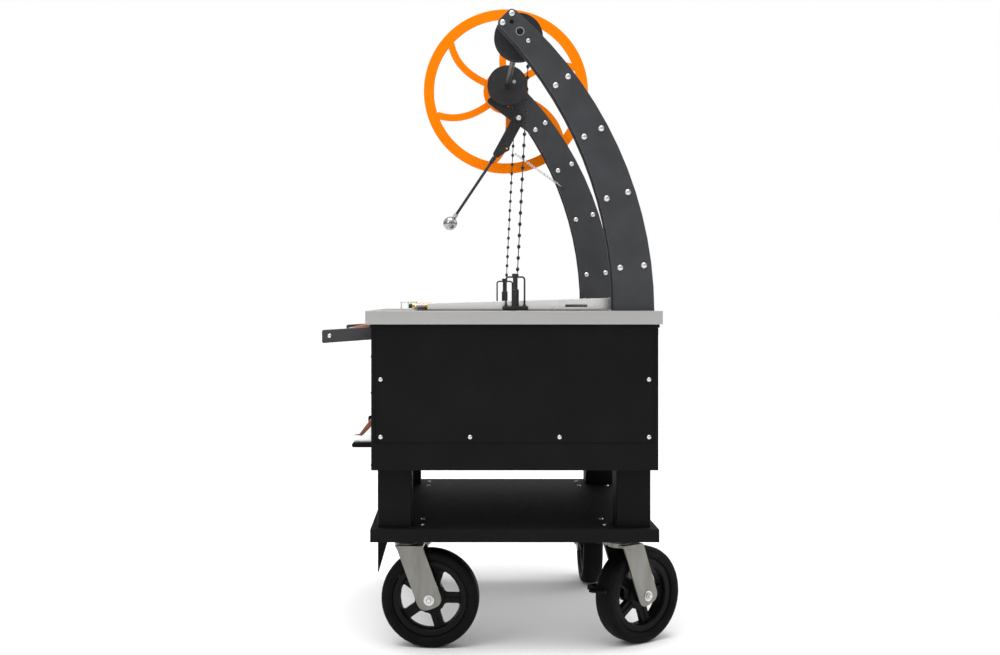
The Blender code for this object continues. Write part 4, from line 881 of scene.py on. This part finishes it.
class GRILL_OT_lift_chains(Operator):
    """The knotted chains from the spools down to the yokes"""
    bl_idname = "grill.lift_chains"
    bl_label = "Lift chains"

    def execute(self, context):
        sizes = context.scene.grill_sizes
        for word, _side in SIDES:
            node = "lift_chain_" + word
            low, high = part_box(node)
            x = mid(node).x
            bottom = Vector((x, low.y + 0.003, low.z + 0.0006))
            top = Vector((x, high.y - 0.003, high.z))
            chain = self.run(node, bottom, top, sizes.chain_pitch, sizes.chain_wire)
            blacked(chain, "cart", node)
            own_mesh(chain)
        return {"FINISHED"}

    def run(self, node, bottom, top, pitch, thin):
        along = (top - bottom).normalized()
        knots = int((top - bottom).length / pitch)
        pieces = [wire("chain_wire", [bottom, top], thin, 3)]
        places = [(bottom + along * (pitch * (i + 0.35)), along) for i in range(knots)]
        pieces.append(copies("chain_knots", self.knot(thin), places))
        return joined(node + "_finished", pieces)

    def knot(self, thin):
        """A twist of wire with a small eye beside it, along +X."""
        deselect()
        bpy.ops.mesh.primitive_torus_add(major_segments=14, minor_segments=7, major_radius=0.0036,
                                         minor_radius=thin * 1.2, rotation=(0.35, 0, 0))
        eye = settle(named("knot_eye"))
        twist, steps, turns, reach = [], 25, 2.5, 0.0062
        for i in range(steps + 1):
            angle = math.tau * turns * i / steps
            swell = 0.0006 + 0.0030 * math.sin(math.pi * i / steps)
            twist.append(Vector((-reach + 2 * reach * i / steps, swell * math.cos(angle),
                                 swell * math.sin(angle))))
        coil = wire("knot_twist", twist, thin * 0.9, 1)
        return joined("knot", [eye, coil])


ROD_SOCKET = (-0.0327, -0.215)       # (y, z) from the shaft


class GRILL_OT_brake(Operator):
    """The band brake on the left arm, with its lever, rod, ball and spring"""
    bl_idname = "grill.brake"
    bl_label = "Brake"

    def execute(self, context):
        dress_refined("brake_band", "spring_wire", "black_steel", 0.0003, 1)
        dress_refined("brake_lever", "black_steel", "black_steel", 0.0006)
        self.handle()
        self.spring(context.scene.grill_sizes.spring_turns)
        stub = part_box("arm_inner_plate_left")[1].x
        place = Vector((stub - 0.0004, PIVOT.y, PIVOT.z))
        bolted("brake_pivot_cap", dome_bolt(0.0085, 0.0050), [(place, (1, 0, 0))])
        return {"FINISHED"}

    def handle(self):
        x = mid("brake_rod").x
        knob_low, knob_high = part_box("brake_knob")
        centre = (knob_low + knob_high) / 2
        radius = (knob_high.z - knob_low.z) / 2
        socket = Vector((x, SHAFT.y + ROD_SOCKET[0], SHAFT.z + ROD_SOCKET[1]))
        along = (Vector((x, centre.y, centre.z)) - socket).normalized()
        rod = bar("rod", socket + along * 0.014, centre - along * (radius - 0.001), 0.0046, 0.0006, 24)
        sleeve = bar("rod_socket", socket + along * 0.0125, socket + along * 0.034, 0.0073, 0.0008, 28)
        blacked(joined("brake_rod_finished", [rod, sleeve]), "brake", "brake_rod")
        tip = centre - along * radius
        ferrule = spun("rod_ferrule", [(0.0, -0.014), (0.0062, -0.014), (0.0070, -0.0132), (0.0070, -0.001),
                                       (0.0062, 0.0), (0.0, 0.0)], tip, along, 32)
        dress(ferrule, "polished_chrome", "brake", "chrome")
        steps = 24
        profile = [(radius * math.sin(math.pi * i / steps), -radius * math.cos(math.pi * i / steps))
                   for i in range(steps + 1)]
        ball = spun("brake_ball", profile, centre, along, 48)
        dress(ball, "polished_chrome", "brake", "chrome", "brake_knob")

    def spring(self, turns):
        low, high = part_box("brake_spring")
        x = mid("brake_spring").x
        end, start = Vector((x, high.y, low.z)), Vector((x, low.y, high.z))
        along = (end - start).normalized()
        start, end = start + along * 0.004, end - along * 0.004
        side = along.cross(X)
        reach = (end - start).length
        steps, coil_radius = 12, 0.0034
        coil = []
        for i in range(turns * steps + 1):
            angle = math.tau * i / steps
            coil.append(start + along * (reach * (0.07 + 0.86 * i / (turns * steps)))
                        + (X * math.cos(angle) + side * math.sin(angle)) * coil_radius)
        path = [start - along * 0.012, start, *coil, end, end + along * 0.004]
        spring = wire("brake_spring_finished", path, 0.0009, 1)
        spring.data.materials.clear()
        spring.data.materials.append(find_finish("spring_wire"))
        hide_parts("brake_spring")
        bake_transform(spring)


class GRILL_OT_grate(Operator):
    """The lifting grate: V channels in a frame, grease trough, coil grips and yokes"""
    bl_idname = "grill.grate"
    bl_label = "Grate"

    def execute(self, context):
        dress_refined("grate_frame", "grate_steel_painted_lit", "stainless", 0.0006)
        dress_refined("grate_channels", "deck_steel", "stainless", 0.0003, 1)
        dress_refined("grease_trough", "deck_steel", "stainless", 0.0005)
        for word, _side in SIDES:
            self.grip(word)
            self.yoke(word)
        return {"FINISHED"}

    def grip(self, word):
        """A coil of wire between brass rings on a pin, over an upright bracket."""
        node = "coil_grip_" + word
        x, rear = mid(node).x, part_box(node)[1].y
        base, z = GRATE_LOW.z, GRATE_LOW.z + 0.0095
        pin = bar("grip_pin", (x, rear, z), (x, rear - 0.046, z), 0.0040, 0.0004, 20)
        front, half, cap = rear - 0.055, 0.007, base + 0.0205
        bracket = [block(name, (x - half, front + near, base + bottom), (x + half, front + far, cap), 0.0006)
                   for name, near, far, bottom in (("grip_strap", -0.0145, -0.0115, 0.0),
                                                   ("grip_cap", -0.0145, 0.007, 0.0178),
                                                   ("grip_lug", 0.004, 0.007, 0.004))]
        dress(joined(node + "_finished", [pin] + bracket), "grate_steel_painted_lit", "grate", "stainless", node)
        blacked(bar("grip_knob", (x, rear - 0.0395, z), (x, rear - 0.0505, z), 0.0060, 0.0010, 28), "grate")
        turns, steps, radius, coil = 8, 14, 0.0064, []
        for i in range(turns * steps + 1):
            angle = math.tau * i / steps
            coil.append(Vector((x + radius * math.cos(angle), rear - 0.0085 - 0.022 * i / (turns * steps),
                                z + radius * math.sin(angle))))
        dress(wire(node + "_coil", coil, 0.0013, 2), "spring_wire", "grate", "spring")
        band = mirrored([(0.0040, -0.0034), (0.0080, -0.0034), (0.0087, -0.0026)])
        rings = [spun("grip_ring", band, (x, place, z), Y, 32, ring=True)
                 for place in (rear - 0.0036, rear - 0.0355)]
        dress(joined(node + "_rings", rings), "brass", "grate", "stainless")

    def yoke(self, word):
        """A U of wire and a clamp post on a foot bar."""
        node = "lift_yoke_" + word
        low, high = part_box(node)
        x, y = mid("lift_chain_" + word).x, mid(node).y
        spread, corner, thin = 0.024, 0.007, 0.0024
        foot_top = low.z + 0.0095
        top = high.z - 0.0065 - thin
        path = [Vector((x, y - spread, foot_top - 0.003)), Vector((x, y - spread, top - corner))]
        path += [Vector((x, y - spread + corner - corner * math.cos(a), top - corner + corner * math.sin(a)))
                 for a in (math.pi / 16 * i for i in range(1, 9))]
        path += [Vector((point.x, 2 * y - point.y, point.z)) for point in path[::-1]]
        bow = wire("yoke_bow", path, thin, 3)
        foot = block("yoke_foot", low, (high.x, high.y, foot_top), 0.0030)
        sleeve = [(0.0, -0.001), (0.0094, -0.001), (0.0094, 0.042), (0.0084, 0.043), (0.0062, 0.044)]
        head = [(0.0062, 0.011), (0.0078, 0.010), (0.0085, 0.009), (0.0085, 0.001), (0.0078, 0.0),
                (0.0, 0.0)]
        profile = [(r, foot_top + up) for r, up in sleeve] + [(r, high.z - down) for r, down in head]
        post = spun("yoke_post", profile, (x, y, 0), Z, 32)
        blacked(shaded(joined(node + "_finished", [foot, bow, post]), 40), "grate", node)
        nuts = [(Vector((x, place, foot_top - 0.0008)), (0, 0, 1)) for place in (y - spread, y + spread)]
        blacked(copies(node + "_nuts", hex_bolt(0.0044, 0.0026, 1.1), nuts), "grate")


class GRILL_OT_ash_drawer(Operator):
    """The ash drawer with its stainless end plates and hardwood pull"""
    bl_idname = "grill.ash_drawer"
    bl_label = "Ash drawer"

    def execute(self, context):
        dress_refined("ash_drawer", "powder_black", "body_black", 0.0010)
        dress_refined("drawer_pull", "hardwood", "hardwood", 0.0016, 3)
        self.end_covers()
        return {"FINISHED"}

    def end_covers(self):
        """Stainless cheeks over the pull's end plates."""
        pull_low, pull_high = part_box("drawer_pull")
        front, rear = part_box("ash_drawer")[0].y, pull_high.y - 0.0030
        step = pull_low.z - 0.0178
        points = ((front + 0.0034, 0.0), (rear, 0.0), (rear, 0.0465), (front + 0.0250, 0.0165),
                  (front + 0.0070, 0.0190), (front + 0.0034, 0.0155))
        pieces = []
        for side in (-1, 1):
            face = CART.x + side * ((pull_high.x - pull_low.x) / 2 - 0.010 + 0.0018)
            corners = [Vector((face, y, step + up)) for y, up in points]
            pieces.append(softened(plate("cheek", corners, X * side * 0.0012), 0.0003))
        dress(joined("drawer_cheeks", pieces), "grate_steel_painted_lit", "drawer", "stainless")


class GRILL_OT_casters(Operator):
    """Swivel casters: plates, forks, cored wheels, tyres and brake pedals"""
    bl_idname = "grill.casters"
    bl_label = "Casters"

    def execute(self, context):
        spokes = context.scene.grill_sizes.wheel_spokes
        for spot in SPOTS:
            dress_refined("caster_plate_" + spot, "black_steel", "black_steel", 0.0008)
            dress_refined("caster_fork_" + spot, "zinc_plate", "zinc", 0.0009)
            self.wheel(spot, spokes)
            self.axle_bolts(spot)
        for spot in SPOTS[2:]:
            dress_refined("brake_pedal_" + spot, "powder_black", "body_black", 0.0007)
        return {"FINISHED"}

    def axle(self, spot):
        joint = JOINTS["wheel_" + spot]
        return Vector(joint["pos_m"]), Vector(joint["axis"])

    def wheel(self, spot, spokes):
        centre, axis = self.axle(spot)
        body = "wheel_" + spot
        half, tread = 0.03075, WHEEL_RADIUS
        tyre = [(0.0972, 0.0070), (0.0985, 0.0042), (0.1005, 0.0032), (0.1018, 0.0034), (0.1030, 0.0022),
                (0.1100, 0.0003), (0.1170, 0.0006), (0.1215, 0.0026), (0.1248, 0.0068), (0.1264, 0.0120),
                (tread - 0.0001, 0.0200)]
        tyre = [(radius, inset - half) for radius, inset in tyre]
        tyre = tyre + [(tread, 0.0)] + mirrored(tyre)[len(tyre):]
        rubber = spun("tyre_" + spot, tyre, centre, axis, 112, ring=True)
        dress(rubber, "tyre_rubber", body, "rubber", "wheel_tyre_" + spot)
        rim = mirrored([(0.0800, -0.0150), (0.0812, -0.0195), (0.0835, -0.0213), (0.0955, -0.0222),
                        (0.0969, -0.0210)])
        pieces = [spun("core_rim", rim, centre, axis, 96, ring=True)]
        boss = mirrored([(0.0077, -0.0300), (0.0170, -0.0300), (0.0225, -0.0292), (0.0240, -0.0278),
                         (0.0246, -0.0150), (0.0365, -0.0110), (0.0370, -0.0100)])
        pieces.append(spun("core_hub", boss, centre, axis, 72, ring=True))
        ahead = axis.cross(Z)
        outs = [Matrix.Rotation(math.tau * k / spokes, 3, axis) @ ahead for k in range(spokes)]
        pieces.append(self.web(centre, axis, outs))
        pieces += [self.rib(centre, axis, out) for out in outs]
        core = joined("wheel_core_" + spot + "_finished", pieces)
        dress(shaded(core, 38), "moulded_nylon", body, "nylon", "wheel_core_" + spot)

    def web(self, centre, axis, outs):
        """A disc with a rounded window between each two spokes."""
        disc = spun("core_web", mirrored([(0.030, -0.0080), (0.0830, -0.0080)]), centre, axis, 96, ring=True)
        windows = [self.window(centre, axis, out, math.pi / len(outs)) for out in outs]
        cutter = joined("windows", windows)
        modified(disc, "BOOLEAN", operation="DIFFERENCE", solver="EXACT", object=cutter)
        bpy.data.objects.remove(cutter, do_unlink=True)
        return softened(disc, 0.0010, 2, 40)

    def window(self, centre, axis, out, half_turn):
        """A cutter in the gap that follows a spoke."""
        spoke, near, far, depth = 0.0128, 0.0410, 0.0785, 0.024
        across = axis.cross(out)
        corners = []
        for radius, steps, sign in ((far, 4, 1), (near, 2, -1)):
            reach = half_turn - math.asin(spoke / radius)
            for i in range(steps + 1):
                angle = half_turn + sign * reach * (2 * i / steps - 1)
                corner = (out * math.cos(angle) + across * math.sin(angle)) * radius
                corners.append(centre + corner - axis * depth)
        cutter = plate("window", corners, axis * depth * 2)
        return softened(cutter, 0.0065, 4, 60)

    def rib(self, centre, axis, out):
        """A thin rib along the middle of a spoke."""
        deselect()
        bpy.ops.mesh.primitive_cube_add(size=1.0)
        start, length, width, thick = 0.0345, 0.0480, 0.0036, 0.0220
        columns = (out * length, axis.cross(out).normalized() * width, axis * thick)
        part = stretched(named("rib"), columns, centre + out * (start + length / 2))
        return softened(cleaned(part), 0.0009, 2)

    def axle_bolts(self, spot):
        centre, axis = self.axle(spot)
        tyre_half, gap, fork = 0.03175, 0.004, 0.005
        face = tyre_half + gap + fork
        places = [(centre + axis * face * side, axis * side) for side in (-1, 1)]
        bolted("axle_bolts_" + spot, hex_bolt(0.0098, 0.0056, 1.38), places, "swivel_" + spot)


class GRILL_OT_stage(Operator):
    """Pale floor, soft studio lights and the camera"""
    bl_idname = "grill.stage"
    bl_label = "Stage"

    def execute(self, context):
        self.floor()
        self.lights()
        self.camera(context)
        return {"FINISHED"}

    def floor(self):
        deselect()
        bpy.ops.mesh.primitive_plane_add(size=60.0, location=(0, 0, 0))
        floor = settle(named("floor"))
        floor.data.materials.append(pale_floor())
        world = bpy.data.worlds.new("studio")
        world.use_nodes = True
        self.sky(world.node_tree)
        bpy.context.scene.world = world
        bpy.context.scene.view_settings.view_transform = "Standard"

    def sky(self, tree):
        """White behind the cart; the light on it comes from a studio that is brighter overhead."""
        nodes, links = tree.nodes, tree.links
        studio = nodes["Background"]
        studio.inputs["Strength"].default_value = 1.0
        place = nodes.new("ShaderNodeTexCoord")
        parts = nodes.new("ShaderNodeSeparateXYZ")
        height = nodes.new("ShaderNodeMapRange")
        height.inputs["From Min"].default_value = -1.0
        ramp = nodes.new("ShaderNodeValToRGB")
        stops = ramp.color_ramp.elements
        for place_up, grey in ((0.47, 0.22), (0.55, 0.32), (0.70, 0.75)):
            stops.new(place_up).color = (grey, grey, grey, 1.0)
        stops[0].color = (0.22, 0.22, 0.22, 1.0)
        stops[-1].color = (0.90, 0.90, 0.90, 1.0)
        white = nodes.new("ShaderNodeBackground")
        white.inputs["Color"].default_value = (1, 1, 1, 1)
        path = nodes.new("ShaderNodeLightPath")
        choice = nodes.new("ShaderNodeMixShader")
        links.new(place.outputs["Object"], parts.inputs["Vector"])
        links.new(parts.outputs["Z"], height.inputs["Value"])
        links.new(height.outputs["Result"], ramp.inputs["Fac"])
        links.new(ramp.outputs["Color"], studio.inputs["Color"])
        links.new(path.outputs["Is Camera Ray"], choice.inputs[0])
        links.new(studio.outputs["Background"], choice.inputs[1])
        links.new(white.outputs["Background"], choice.inputs[2])
        links.new(choice.outputs["Shader"], nodes["World Output"].inputs["Surface"])

    def lights(self):
        bpy.ops.object.light_add(type="SUN", location=cart(0, 0, 4.0),
                                 rotation=(math.radians(6), math.radians(8), 0))
        sun = bpy.context.object
        sun.name = "overhead"
        sun.data.energy = 2.1
        sun.data.angle = math.radians(50)
        aim = cart(0, 0, 0.8)
        for name, place, size, power in (
                ("key", (2.6, -2.4, 3.0), 1.6, 30.0),
                ("top", (0.2, 0.3, 3.6), 2.4, 20.0),
                ("rear", (-1.0, 2.8, 2.4), 1.6, 20.0)):
            light = self.area(name, place, size, power)
            light.rotation_euler = (light.location - aim).to_track_quat("Z", "Y").to_euler()
        fill = self.area("floor_fill", (0, 0, 0.262), 0.62, 0.5)
        fill.data.shape = "RECTANGLE"
        fill.data.size_y = 0.44
        fill.visible_camera = False
        fill.visible_glossy = False

    def area(self, name, place, size, power):
        bpy.ops.object.light_add(type="AREA", location=cart(*place))
        light = bpy.context.object
        light.name = name
        light.data.size = size
        light.data.energy = power
        return light

    def camera(self, context):
        bpy.ops.object.camera_add(location=cart(3.657, -0.1455, 0.897),
                                  rotation=(math.radians(90), 0, math.radians(90)))
        camera = context.object
        camera.name = "grill_camera"
        camera.data.sensor_width = 36.0
        camera.data.lens = 45.73
        camera.data.shift_x = 0.043
        camera.data.shift_y = -0.0265
        camera.data.clip_end = 100.0
        context.scene.camera = camera


class GRILL_PT_sidebar(Panel):
    """The grill's sizes, colours and building steps"""
    bl_idname = "GRILL_PT_sidebar"
    bl_label = "Open-fire grill"
    bl_space_type = "VIEW_3D"
    bl_region_type = "UI"
    bl_category = "Grill"

    def draw(self, context):
        layout = self.layout
        for group in (context.scene.grill_sizes, context.scene.grill_colours):
            box = layout.box()
            for key in group.__annotations__:
                box.prop(group, key)
        for step in STEPS:
            layout.operator(step.bl_idname)


STEPS = (GRILL_OT_stage, GRILL_OT_cart_body, GRILL_OT_deck, GRILL_OT_fire_bed, GRILL_OT_front_rail,
         GRILL_OT_arms, GRILL_OT_winch, GRILL_OT_lift_chains, GRILL_OT_brake, GRILL_OT_grate,
         GRILL_OT_ash_drawer, GRILL_OT_casters)
CLASSES = (GrillColours, GrillSizes, *STEPS, GRILL_PT_sidebar)


def register():
    for item in CLASSES:
        bpy.utils.register_class(item)
    bpy.types.Scene.grill_colours = PointerProperty(type=GrillColours)
    bpy.types.Scene.grill_sizes = PointerProperty(type=GrillSizes)


def unregister():
    del bpy.types.Scene.grill_sizes
    del bpy.types.Scene.grill_colours
    for item in reversed(CLASSES):
        bpy.utils.unregister_class(item)


def main():
    register()
    for step in STEPS:
        group, name = step.bl_idname.split(".")
        getattr(getattr(bpy.ops, group), name)()
    deselect()


if __name__ == "__main__":
    main()
